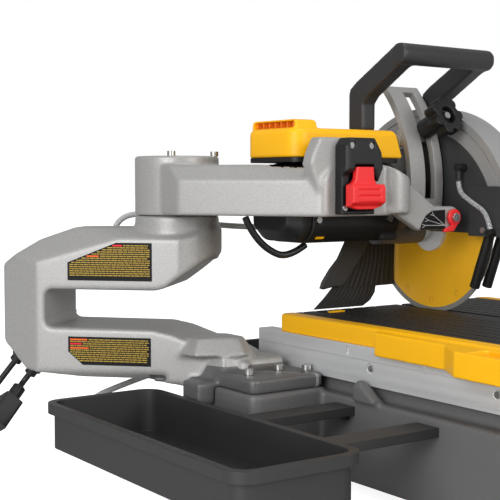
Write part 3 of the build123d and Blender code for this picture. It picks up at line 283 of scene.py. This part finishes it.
def clear_vinyl():
    mat, nodes, links = new_material("clear_vinyl")
    shader = nodes["Principled BSDF"]
    shader.inputs["Base Color"].default_value = (0.86, 0.87, 0.88, 1)
    shader.inputs["Transmission Weight"].default_value = 0.75
    shader.inputs["IOR"].default_value = 1.4
    cloud = noise(nodes, links, 60, 3)
    gloss = nodes.new("ShaderNodeMapRange")
    gloss.inputs["To Min"].default_value = 0.08
    gloss.inputs["To Max"].default_value = 0.22
    links.new(cloud.outputs["Fac"], gloss.inputs["Value"])
    links.new(gloss.outputs["Result"], shader.inputs["Roughness"])
    return mat


BLADE_PAINT_R = 0.1195
ARM_AXIS = Vector((-math.sqrt(0.5), math.sqrt(0.5), 0))
ARM_FACE = Vector((-math.sqrt(0.5), -math.sqrt(0.5), 0))
BOSS = (-363.0, 163.0)
HALF_ARM = 71.0
SILVER_COLOUR = (0.42, 0.415, 0.405)
FOOT_COLOUR = (0.155, 0.155, 0.157)
SILVER = surface("silver_casting", SILVER_COLOUR, 0.40, 0.25, 800, 0.24, 0.35, 0.0, 0.04, 0.0022, smear=5)
DARK_CAST = surface("dark_casting", (0.105, 0.106, 0.108), 0.46, 0.1, 1100, 0.25, 0.28, 0, 0.06, 0.0022)
FOOT_GREY = surface("foot_grey", FOOT_COLOUR, 0.48, 0.1, 1100, 0.28, 0.3, 0, 0.05, 0.0022)
YELLOW = surface("yellow_plastic", (1.0, 0.50, 0.006), 0.42, 0, 700, 0.03, 0.06, 0.0, 0.02, 0.002, spec=0.3)
BLACK = surface("black_plastic", (0.009, 0.009, 0.0095),
                0.46, 0, 1500, 0.25, 0.22, 0, 0.1, 0.0015, spec=0.4)
GREY_PLASTIC = surface("grey_plastic", (0.03, 0.03, 0.031), 0.5, 0, 1400, 0.2, 0.2, 0, 0.1, 0.0018)
HANDLE_GREY = surface("handle_grey", (0.026, 0.026, 0.028), 0.44, 0, 1200, 0.15, 0.12, 0, 0.06, 0.002)
RAIL = brushed("rail_aluminium", (0.80, 0.81, 0.82), 0.45, (1.0, 0.03, 1.0))
GUARD_GREY = surface("guard_grey", (0.36, 0.36, 0.36), 0.36, 0.3, 1200, 0.12, 0.15, 0, 0.04, 0.0012)
GUARD_DARK = surface("guard_dark", (0.04, 0.041, 0.043), 0.48, 0.1, 1200, 0.15, 0.2, 0, 0.05, 0.001)
RUBBER = surface("rubber", (0.008, 0.008, 0.0085), 0.55, 0, 1500, 0.3, 0.25, 0, 0.15, 0.0008)
CORD_RUBBER = surface("cord_rubber", (0.012, 0.012, 0.013), 0.42, 0, 2000, 0.2, 0.1, 0, 0.1, 0)
RED = surface("red_plastic", (0.80, 0.02, 0.022), 0.36, 0, 900, 0.05, 0.06, 0.15, 0.03, 0.0015)
STEEL = surface("steel", (0.62, 0.62, 0.61), 0.28, 0.95, 1600, 0.1, 0.1, 0, 0.05, 0.0006)
WHITE_STEEL = surface("white_steel", (0.88, 0.88, 0.87), 0.45, 0.0, 1600, 0.05, 0.05, 0, 0.03, 0.0006)
VENT_ORANGE = surface("vent_orange", (0.95, 0.24, 0.015), 0.45, 0, 700, 0.05, 0.1, 0, 0.05, 0.001)
LABEL = surface("label_black", (0.008, 0.008, 0.009), 0.5, 0, 900, 0.05, 0.02, 0, 0.05, 0, spec=0.15)
BAR_YELLOW = surface("bar_yellow", (0.42, 0.29, 0.045), 0.5, 0, 900, 0.1, 0.02, 0, 0.05, 0, spec=0.2)
BAR_ORANGE = surface("bar_orange", (0.85, 0.14, 0.02), 0.5, 0, 900, 0.05, 0.02, 0, 0.05, 0, spec=0.2)
BAR_RED = surface("bar_red", (0.75, 0.02, 0.03), 0.5, 0, 900, 0.05, 0.02, 0, 0.05, 0, spec=0.2)
MARK_GREY = surface("mark_grey", (0.55, 0.55, 0.55), 0.45, 0.2, 900, 0.05, 0.02, 0, 0.05, 0)
MARK_BROWN = surface("mark_brown", (0.45, 0.19, 0.01), 0.5, 0, 900, 0.05, 0.02, 0, 0.05, 0)
GREY_TUBE = surface("grey_tube", (0.50, 0.51, 0.50), 0.3, 0, 300, 0.05, 0.03, 0.2, 0.06, 0)
BLADE_PAINT = blade_paint()
CLEAR = clear_vinyl()
ARM_CASTING = two_tone_casting()
MATTING = ridged_rubber()

NODE_LOOKS = {
    ARM_CASTING: ("c_arm",),
    SILVER: ("c_arm_rear_cover", "upper_arm", "depth_quadrant"),
    DARK_CAST: ("gear_case",),
    FOOT_GREY: ("base_frame",),
    YELLOW: ("motor_cover", "left_trim", "right_trim", "edge_guide"),
    BLACK: ("motor_housing", "motor_end_bell", "cover_band", "switch_box", "depth_knob", "nozzle_left",
            "nozzle_right", "hose_barb", "glide_shoes", "water_pan", "water_pump", "drain_plug"),
    GREY_PLASTIC: ("side_water_tray", "rear_water_tray", "splash_deflector"),
    HANDLE_GREY: ("carry_handle",),
    RAIL: ("fixed_rails", "cart_sliders", "cart_plate", "fence_bar"),
    GUARD_GREY: ("guard_shell",),
    GUARD_DARK: ("guard_side_plates", "guard_front_panel"),
    MATTING: ("cart_mats",),
    RUBBER: ("rubber_feet", "rubber_flap", "cord_glands", "power_plug"),
    RED: ("switch_paddle", "flow_lever"),
    STEEL: ("pan_screws", "socket_bolts", "motor_screws",
            "plunge_shaft", "knob_stud", "nozzle_pin", "spindle",
            "arbor_nut"),
    WHITE_STEEL: ("blade_flanges",),
    VENT_ORANGE: ("vent_insert",),
    LABEL: ("arm_labels", "flow_plate"),
    BLADE_PAINT: ("blade",),
    CORD_RUBBER: ("motor_lead", "power_cord", "power_cord_coil", "pump_pigtail"),
    GREY_TUBE: ("supply_hose", "head_hose"),
    CLEAR: ("clear_hose",),
}
for look, names in NODE_LOOKS.items():
    for node_name in names:
        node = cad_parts[node_name]
        if not node.material_slots:
            node.data.materials.append(look)
        for slot in node.material_slots:
            slot.material = look


# ---- softened castings and mouldings ----------------------------------------
def soften(node_name, voxel_mm, rounds, factor=0.5):
    """Round every edge of a CAD piece the way a casting or a moulding is rounded."""
    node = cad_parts[node_name]
    remesh = node.modifiers.new("remesh", "REMESH")
    remesh.mode = "VOXEL"
    remesh.voxel_size = voxel_mm * MM
    remesh.use_smooth_shade = True
    relax = node.modifiers.new("relax", "SMOOTH")
    relax.factor = factor
    relax.iterations = rounds


SOFT_NODES = (
    ("c_arm", 2.6, 14), ("upper_arm", 2.2, 9), ("carry_handle", 1.8, 10), ("motor_cover", 1.6, 8),
    ("switch_paddle", 0.8, 5), ("depth_knob", 0.9, 4), ("left_trim", 1.6, 4), ("splash_deflector", 1.3, 4),
    ("motor_end_bell", 1.6, 10), ("motor_housing", 1.8, 6), ("gear_case", 1.6, 6), ("nozzle_left", 1.0, 3),
    ("nozzle_right", 1.0, 3), ("flow_lever", 0.6, 3), ("switch_box", 1.2, 3), ("base_frame", 3.2, 4),
)
for node_name, voxel_mm, rounds in SOFT_NODES:
    soften(node_name, voxel_mm, rounds)


# ---- mesh pieces -------------------------------------------------------------
def add_piece(name, mesh, look, body):
    piece = bpy.data.objects.new(name, mesh)
    bpy.context.scene.collection.objects.link(piece)
    mesh.materials.append(look)
    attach(piece, body)
    return piece


def prism_mesh(name, outlines, direction):
    """One mesh of many thin plates: each outline is a list of points, raised along direction."""
    build = bmesh.new()
    for outline in outlines:
        low = [build.verts.new(p) for p in outline]
        high = [build.verts.new(Vector(p) + direction) for p in outline]
        build.faces.new(low[::-1])
        build.faces.new(high)
        for i in range(len(outline)):
            j = (i + 1) % len(outline)
            build.faces.new((low[i], low[j], high[j], high[i]))
    bmesh.ops.recalc_face_normals(build, faces=build.faces)
    mesh = bpy.data.meshes.new(name)
    build.to_mesh(mesh)
    build.free()
    return mesh


# generic label printing: plain bars, no lettering
LABEL_T = 0.8
BAR_T = 0.12


def on_label(s, z):
    return at(BOSS[0], BOSS[1], z) + (ARM_AXIS * s + ARM_FACE * (HALF_ARM + LABEL_T)) * MM


def bar(s1, s2, z1, z2):
    return [on_label(s1, z1), on_label(s2, z1), on_label(s2, z2), on_label(s1, z2)]


def label_rows(z_top, z_low, s_left, s_right_at, seed, heads):
    """Rows of dashes of uneven length, with solid heads on the rows that heads names."""
    dice = random.Random(seed)
    dashes, solids = [], []
    pitch = 3.1
    count = int((z_top - z_low) / pitch)
    for row in range(count):
        z = z_top - row * pitch
        s = s_right_at(z)
        if row in heads:
            solids.append(bar(s, s - heads[row], z - 2.2, z))
            s -= heads[row] + 2
        while s > s_left + 3:
            step = min(dice.uniform(2.0, 9.0), s - s_left)
            dashes.append(bar(s, s - step, z - 1.75, z - 0.2))
            s -= step + 0.9
    return dashes, solids


LABEL_RIGHT = 143
UPPER_CORNER_Z, UPPER_SLANT = -42, 2.5
LOWER_CORNER_Z, LOWER_SLANT = -172, 1.16


def upper_right(z):
    """Right limit of the upper label, which slants in above its corner."""
    if z < UPPER_CORNER_Z:
        return LABEL_RIGHT
    return LABEL_RIGHT - (z - UPPER_CORNER_Z) * UPPER_SLANT


def lower_right(z):
    """Right limit of the lower label, which slants in below its corner."""
    if z > LOWER_CORNER_Z:
        return LABEL_RIGHT
    return LABEL_RIGHT - (LOWER_CORNER_Z - z) * LOWER_SLANT


upper_dashes, upper_heads = label_rows(-16, -65, 23, upper_right, 3, {0: 14, 5: 18})
lower_dashes, lower_heads = label_rows(-153, -188, 25, lower_right, 5, {0: 26, 2: 18, 4: 28})
lift = ARM_FACE * BAR_T * MM
add_piece("label_dashes", prism_mesh("label_dashes", upper_dashes + lower_dashes, lift),
          BAR_YELLOW, "base")
add_piece("label_heads", prism_mesh("label_heads", [upper_heads[1], lower_heads[0], lower_heads[2]], lift),
          BAR_ORANGE, "base")
add_piece("label_red_heads", prism_mesh("label_red_heads", [upper_heads[0], lower_heads[1]], lift),
          BAR_RED, "base")

# blade: generic ring marks near the rim
RING_R, RING_AT, RING_COUNT = 4.2, 108.0, 12
ring_outlines = []
for k in range(RING_COUNT):
    turn = 2 * math.pi * k / RING_COUNT
    cy, cz = RING_AT * math.cos(turn), RING_AT * math.sin(turn)
    steps = 20
    for i in range(steps - 4):
        a1, a2 = turn + 2 * math.pi * i / steps, turn + 2 * math.pi * (i + 1) / steps
        quad = []
        for a, r in ((a1, RING_R), (a2, RING_R), (a2, RING_R - 0.7), (a1, RING_R - 0.7)):
            quad.append(at(-1.0, cy + r * math.cos(a), cz + r * math.sin(a)))
        ring_outlines.append(quad)
add_piece("blade_marks", prism_mesh("blade_marks", ring_outlines, Vector((-0.00008, 0, 0))), MARK_BROWN,
          "blade_set")

# water plate: three generic spray fans
LUG = (-63.5, 23.5)
PLATE_Y = -92.0 - 14.0 - 1.3
fan_outlines = []
for dx, dz, tilt in ((-40, 5, 2.55), (-51, -3, 3.0), (-57, -11, 3.3)):
    centre = Vector((LUG[0] + dx, LUG[1] + dz))
    tip = centre + Vector((math.cos(tilt), math.sin(tilt))) * -3.5
    for sign in (-1, 1):
        far = centre + Vector((math.cos(tilt + sign * 0.7), math.sin(tilt + sign * 0.7))) * 4
        side = Vector((-(far - tip).y, (far - tip).x)).normalized() * 0.35
        fan_outlines.append([at(p.x, PLATE_Y, p.y)
                             for p in (tip - side, far - side, far + side, tip + side)])
    end = Vector((LUG[0] - 15, LUG[1] - 11.5))
    side = Vector((-(end - tip).y, (end - tip).x)).normalized() * 0.35
    fan_outlines.append([at(p.x, PLATE_Y, p.y) for p in (tip - side, end - side, end + side, tip + side)])
add_piece("spray_marks", prism_mesh("spray_marks", fan_outlines, Vector((0, -0.00015, 0))), MARK_GREY,
          "base")


# splash flap: a ribbed rubber sheet that bows to the rear
FLAP_LEFT = ((-10.2, -106), (-52, -108), (-88, -132), (-106, -152), (-120.5, -171))
FLAP_RIGHT = ((-10.2, -7), (-89.6, -7), (-90.2, -46), (-100, -48), (-112, -58), (-120.5, -74))
FLAP_ROWS = (-10.2, -20, -30, -40, -52, -60, -68, -76, -83,
             -89.6, -90.2, -95, -100, -106, -112, -117, -120.5)
FLAP_RIBS, PER_RIB = 12, 8


def edge_at(points, z):
    """x on a flap's edge at height z."""
    for (z1, x1), (z2, x2) in zip(points, points[1:]):
        if z >= z2:
            return x1 + (x2 - x1) * (z - z1) / (z2 - z1)
    return points[-1][1]


def flap_mesh():
    build = bmesh.new()
    columns = FLAP_RIBS * PER_RIB
    sheets = []
    for back in (0, 1):
        rows = []
        for z in FLAP_ROWS:
            left, right = edge_at(FLAP_LEFT, z), edge_at(FLAP_RIGHT, z)
            bow = 2.5 * math.sin(math.pi * (z - FLAP_ROWS[0]) / (FLAP_ROWS[-1] - FLAP_ROWS[0]))
            row = []
            for i in range(columns + 1):
                u = i / columns
                ridge = 0.8 * max(0.0, -math.cos(2 * math.pi * FLAP_RIBS * u))
                y = 77.0 - ridge + 3.0 * back + (ridge if back else 0) + bow
                row.append(build.verts.new(at(left + (right - left) * u, y, z)))
            rows.append(row)
        sheets.append(rows)
    front, rear = sheets
    last = len(FLAP_ROWS) - 1
    for r in range(last):
        for i in range(columns):
            for rows in sheets:
                build.faces.new((rows[r][i], rows[r][i + 1], rows[r + 1][i + 1], rows[r + 1][i]))
        for i in (0, columns):
            build.faces.new((front[r][i], front[r + 1][i], rear[r + 1][i], rear[r][i]))
    for r in (0, last):
        for i in range(columns):
            build.faces.new((front[r][i], front[r][i + 1], rear[r][i + 1], rear[r][i]))
    bmesh.ops.recalc_face_normals(build, faces=build.faces)
    mesh = bpy.data.meshes.new("ribbed_flap")
    build.to_mesh(mesh)
    build.free()
    return mesh


ribbed_flap = add_piece("ribbed_flap", flap_mesh(), RUBBER, "head")
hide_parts("rubber_flap")

# yellow tag low on the motor, and the yellow clip at the matting's rear edge
TAG_OUT = Vector((0, -0.68, -0.733))
TAG_UP = Vector((0, -0.733, 0.68))
CORNER_CENTRE, CORNER_R = Vector((-261, -28, 19)), 29.8
TAG_HALF_W, TAG_HALF_H, TAG_T = 7, 2, 1.2
TAG_MID = CORNER_CENTRE + TAG_OUT * CORNER_R
tag_outline = []
for across, up in ((-1, -1), (1, -1), (1, 1), (-1, 1)):
    corner = TAG_MID + Vector((across * TAG_HALF_W, 0, 0)) + TAG_UP * up * TAG_HALF_H
    tag_outline.append(at(*corner))
add_piece("motor_tag", prism_mesh("motor_tag", [tag_outline], TAG_OUT * TAG_T * MM),
          YELLOW, "head")
clip_outline = [at(x, y, -121.9) for x, y in ((-172, 39), (-142, 39), (-145, 47), (-169, 47))]
add_piece("mat_clip", prism_mesh("mat_clip", [clip_outline], Vector((0, 0, 2.4 * MM))), YELLOW, "cart")

# ---- cords and hoses ---------------------------------------------------------
def spline_curve(name, points, radius_mm, look):
    """A round cord: a NURBS spline with the route's points as control points."""
    curve = bpy.data.curves.new(name, "CURVE")
    curve.dimensions = "3D"
    spline = curve.splines.new("NURBS")
    spline.points.add(len(points) - 1)
    for point, place in zip(spline.points, points):
        point.co = (*place, 1.0)
    spline.order_u = 3
    spline.use_endpoint_u = True
    spline.resolution_u = 16
    curve.bevel_depth = radius_mm * MM
    curve.bevel_resolution = 6
    curve.use_fill_caps = True
    piece = bpy.data.objects.new(name, curve)
    bpy.context.scene.collection.objects.link(piece)
    curve.materials.append(look)
    return piece


def centre_line(piece):
    """The points along a curve piece's own line, in order."""
    bare = piece.data.copy()
    bare.bevel_depth = 0
    line = bpy.data.objects.new("line", bare)
    bpy.context.scene.collection.objects.link(line)
    bpy.context.view_layer.update()
    mesh = bpy.data.meshes.new_from_object(line.evaluated_get(bpy.context.evaluated_depsgraph_get()))
    points = [vertex.co.copy() for vertex in mesh.vertices]
    bpy.data.objects.remove(line)
    return points


def line_length(points):
    return sum((b - a).length for a, b in zip(points, points[1:]))


def meshed(curve_piece, name):
    """The cord as a mesh, for a piece that runs between two bodies."""
    bpy.context.view_layer.update()
    depsgraph = bpy.context.evaluated_depsgraph_get()
    mesh = bpy.data.meshes.new_from_object(curve_piece.evaluated_get(depsgraph))
    bpy.data.objects.remove(curve_piece)
    mesh.shade_smooth()
    piece = bpy.data.objects.new(name, mesh)
    bpy.context.scene.collection.objects.link(piece)
    return piece


FLOOR_Z = -345.0
CORD_R = 4.5
REST_Z = FLOOR_Z + CORD_R + 1
CORNER_S, ARM_END = 216.0, 262.0
CORNER_HIGH, CORNER_LOW = -165.0, -203.0
SLOPE = (CORNER_HIGH - CORNER_LOW) / (ARM_END - CORNER_S)
EXIT_DIR = (ARM_AXIS * SLOPE + Vector((0, 0, -1))).normalized()
GLAND_REACH = 14.1


def cord_start(s, t):
    """Where a cord leaves its gland on the C-arm's slanted corner."""
    z = CORNER_HIGH - (ARM_END - s) * SLOPE
    place = Vector((BOSS[0], BOSS[1], 0)) + ARM_AXIS * s - ARM_FACE * t
    return Vector((place.x, place.y, z)) + EXIT_DIR * GLAND_REACH


COIL = (-700.0, 470.0)
OUTER_R, INNER_R, LAYER = 60.0, 50.7, 9.3


def ease(t, start, end):
    """0 before start, 1 after end, smooth between."""
    u = min(1.0, max(0.0, (t - start) / (end - start)))
    return u * u * (3 - 2 * u)


def coil_points(turns, per_turn):
    """Turns side by side on the floor, then a second layer on top, in to out."""
    points = []
    for i in range(1, int(turns * per_turn) + 1):
        t = i / per_turn
        angle = -math.pi / 2 - 2 * math.pi * t
        radius = OUTER_R - (OUTER_R - INNER_R) * (ease(t, 0.72, 0.98) - ease(t, 2.38, 2.64))
        z = REST_Z + LAYER * ease(t, 1.55, 1.88)
        points.append((COIL[0] + radius * math.cos(angle), COIL[1] + radius * math.sin(angle), z))
    return points


power_start = cord_start(238, -24)
power_route = [tuple(power_start), tuple(power_start + EXIT_DIR * 32), (-600, 350, -268), (-628, 368, -312),
               (-662, 386, REST_Z), (-700, 408, REST_Z)]
power_route += coil_points(3.56, 16)
power_route += [(COIL[0] + 49, COIL[1] + 44, REST_Z + LAYER - 0.5),
                (COIL[0] + 68, COIL[1] + 32, REST_Z + 8.5)]
power = spline_curve("power_cord_line", [at(*p) for p in power_route], CORD_R, CORD_RUBBER)
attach(power, "base")
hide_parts("power_cord", "power_cord_coil")
line_length(centre_line(power))

HOSE_R = 4.5
SUPPLY_ROUTE = [(-375.3, 62, -306), (-420, 64, -306), (-484, 128, -310), (-516, 196, -292),
                (-478, 240, -252), (-404, 240, -232), (-356, 222, -216)]
HEAD_ROUTE = [(-405, 277, 6), (-396, 275, 22), (-360, 262, 26), (-312, 226, 14), (-258, 188, 6),
              (-204, 150, 4), (-150, 108, 6), (-101, 70, 17), (-101, 35.4, 17)]
supply = spline_curve("supply_hose_line", [at(*p) for p in SUPPLY_ROUTE], HOSE_R, GREY_TUBE)
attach(supply, "base")
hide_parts("supply_hose")
line_length(centre_line(supply))

head_hose_line = spline_curve("head_hose_line", [at(*p) for p in HEAD_ROUTE], HOSE_R, GREY_TUBE)
head_hose_path = centre_line(head_hose_line)
head_hose = meshed(head_hose_line, "head_hose_tube")
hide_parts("head_hose")
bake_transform(head_hose)

LEAD_R = 5.0
LEAD_ROUTE = [(-344, 12, 25), (-336, 12, 8), (-310, 10, -20), (-275, 6, -34), (-247, 2, -15.2)]
lead_line = spline_curve("motor_lead_line", [at(*p) for p in LEAD_ROUTE], LEAD_R, CORD_RUBBER)
lead_path = centre_line(lead_line)
lead = meshed(lead_line, "motor_lead_tube")
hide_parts("motor_lead")
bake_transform(lead)

HOSE_X = -38.0
CLEAR_ROUTE = [(HOSE_X, -93, 75.8), (HOSE_X, -93, 60), (HOSE_X, -122, 44),
               (HOSE_X, -150, 30), (HOSE_X, -156, 7.2)]
clear = spline_curve("clear_hose_line", [at(*p) for p in CLEAR_ROUTE], 3.5, CLEAR)
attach(clear, "head")
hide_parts("clear_hose")
line_length(centre_line(clear))

# ---- stage -------------------------------------------------------------------
# how bright the floor looks to the camera, and the sky to the camera and to the saw
FLOOR_GLOW = 0.9
SKY_ON_SAW, SKY_SEEN = 0.40, 1.0
floor_look, floor_nodes, floor_links = new_material("floor")
floor_nodes["Principled BSDF"].inputs["Base Color"].default_value = (0.75, 0.75, 0.75, 1)
floor_nodes["Principled BSDF"].inputs["Roughness"].default_value = 0.9
floor_nodes["Principled BSDF"].inputs["Specular IOR Level"].default_value = 0.0
floor_nodes["Principled BSDF"].inputs["Emission Color"].default_value = (1, 1, 1, 1)
ray = floor_nodes.new("ShaderNodeLightPath")
seen = floor_nodes.new("ShaderNodeMath")
seen.operation = "MULTIPLY"
seen.inputs[1].default_value = FLOOR_GLOW
floor_links.new(ray.outputs["Is Camera Ray"], seen.inputs[0])
floor_links.new(seen.outputs["Value"], floor_nodes["Principled BSDF"].inputs["Emission Strength"])
floor_mesh = bpy.data.meshes.new("floor")
FLOOR_HALF = 30.0
floor_mesh.from_pydata([(-FLOOR_HALF, -FLOOR_HALF, 0), (FLOOR_HALF, -FLOOR_HALF, 0),
                        (FLOOR_HALF, FLOOR_HALF, 0), (-FLOOR_HALF, FLOOR_HALF, 0)], [], [(0, 1, 2, 3)])
floor_mesh.materials.append(floor_look)
floor = bpy.data.objects.new("floor", floor_mesh)
bpy.context.scene.collection.objects.link(floor)

bpy.context.scene.view_settings.view_transform = "Standard"
world = bpy.data.worlds.new("studio")
bpy.context.scene.world = world
world.use_nodes = True
sky_nodes, sky_links = world.node_tree.nodes, world.node_tree.links
sky_nodes["Background"].inputs["Color"].default_value = (1, 1, 1, 1)
sky_ray = sky_nodes.new("ShaderNodeLightPath")
sky_level = sky_nodes.new("ShaderNodeMapRange")
sky_level.inputs["To Min"].default_value = SKY_ON_SAW
sky_level.inputs["To Max"].default_value = SKY_SEEN
sky_links.new(sky_ray.outputs["Is Camera Ray"], sky_level.inputs["Value"])
sky_links.new(sky_level.outputs["Result"], sky_nodes["Background"].inputs["Strength"])


def area_light(name, place, target, size, power):
    light = bpy.data.lights.new(name, "AREA")
    light.shape = "RECTANGLE"
    light.size, light.size_y = size
    light.energy = power
    lamp = bpy.data.objects.new(name, light)
    lamp.location = place
    lamp.rotation_euler = (Vector(target) - Vector(place)).to_track_quat("-Z", "Y").to_euler()
    bpy.context.scene.collection.objects.link(lamp)


centre = ARBOR + Vector((-0.25, -0.05, -0.05))
area_light("key", centre + Vector((-2.3, -1.1, 0.9)), centre, (1.3, 1.0), 34)
area_light("low", centre + Vector((-2.4, -1.2, 0.0)), centre + Vector((0.25, 0, -0.05)), (1.2, 0.4), 11)
area_light("top", centre + Vector((0.2, -0.4, 2.4)), centre, (1.8, 1.2), 16)
area_light("front", centre + Vector((0.5, -2.4, 0.7)), centre, (1.2, 0.9), 24)

# ---- camera ------------------------------------------------------------------
CAMERA_PLACE = (-1228.8, -1269, 72.5)
HEADING = Vector((0.5717, 0.8205, 0))
LENS_PER_WIDTH = 1124 / 500
HORIZON_DROP = (250 - 183.2) / 1124
camera_data = bpy.data.cameras.new("camera")
camera_data.sensor_width = 36
camera_data.lens = 36 * LENS_PER_WIDTH
camera = bpy.data.objects.new("camera", camera_data)
camera.location = at(*CAMERA_PLACE)
looking = (HEADING + Vector((0, 0, -HORIZON_DROP))).normalized()
camera.rotation_euler = looking.to_track_quat("-Z", "Y").to_euler()
bpy.context.scene.collection.objects.link(camera)
bpy.context.scene.camera = camera

bpy.context.view_layer.update()
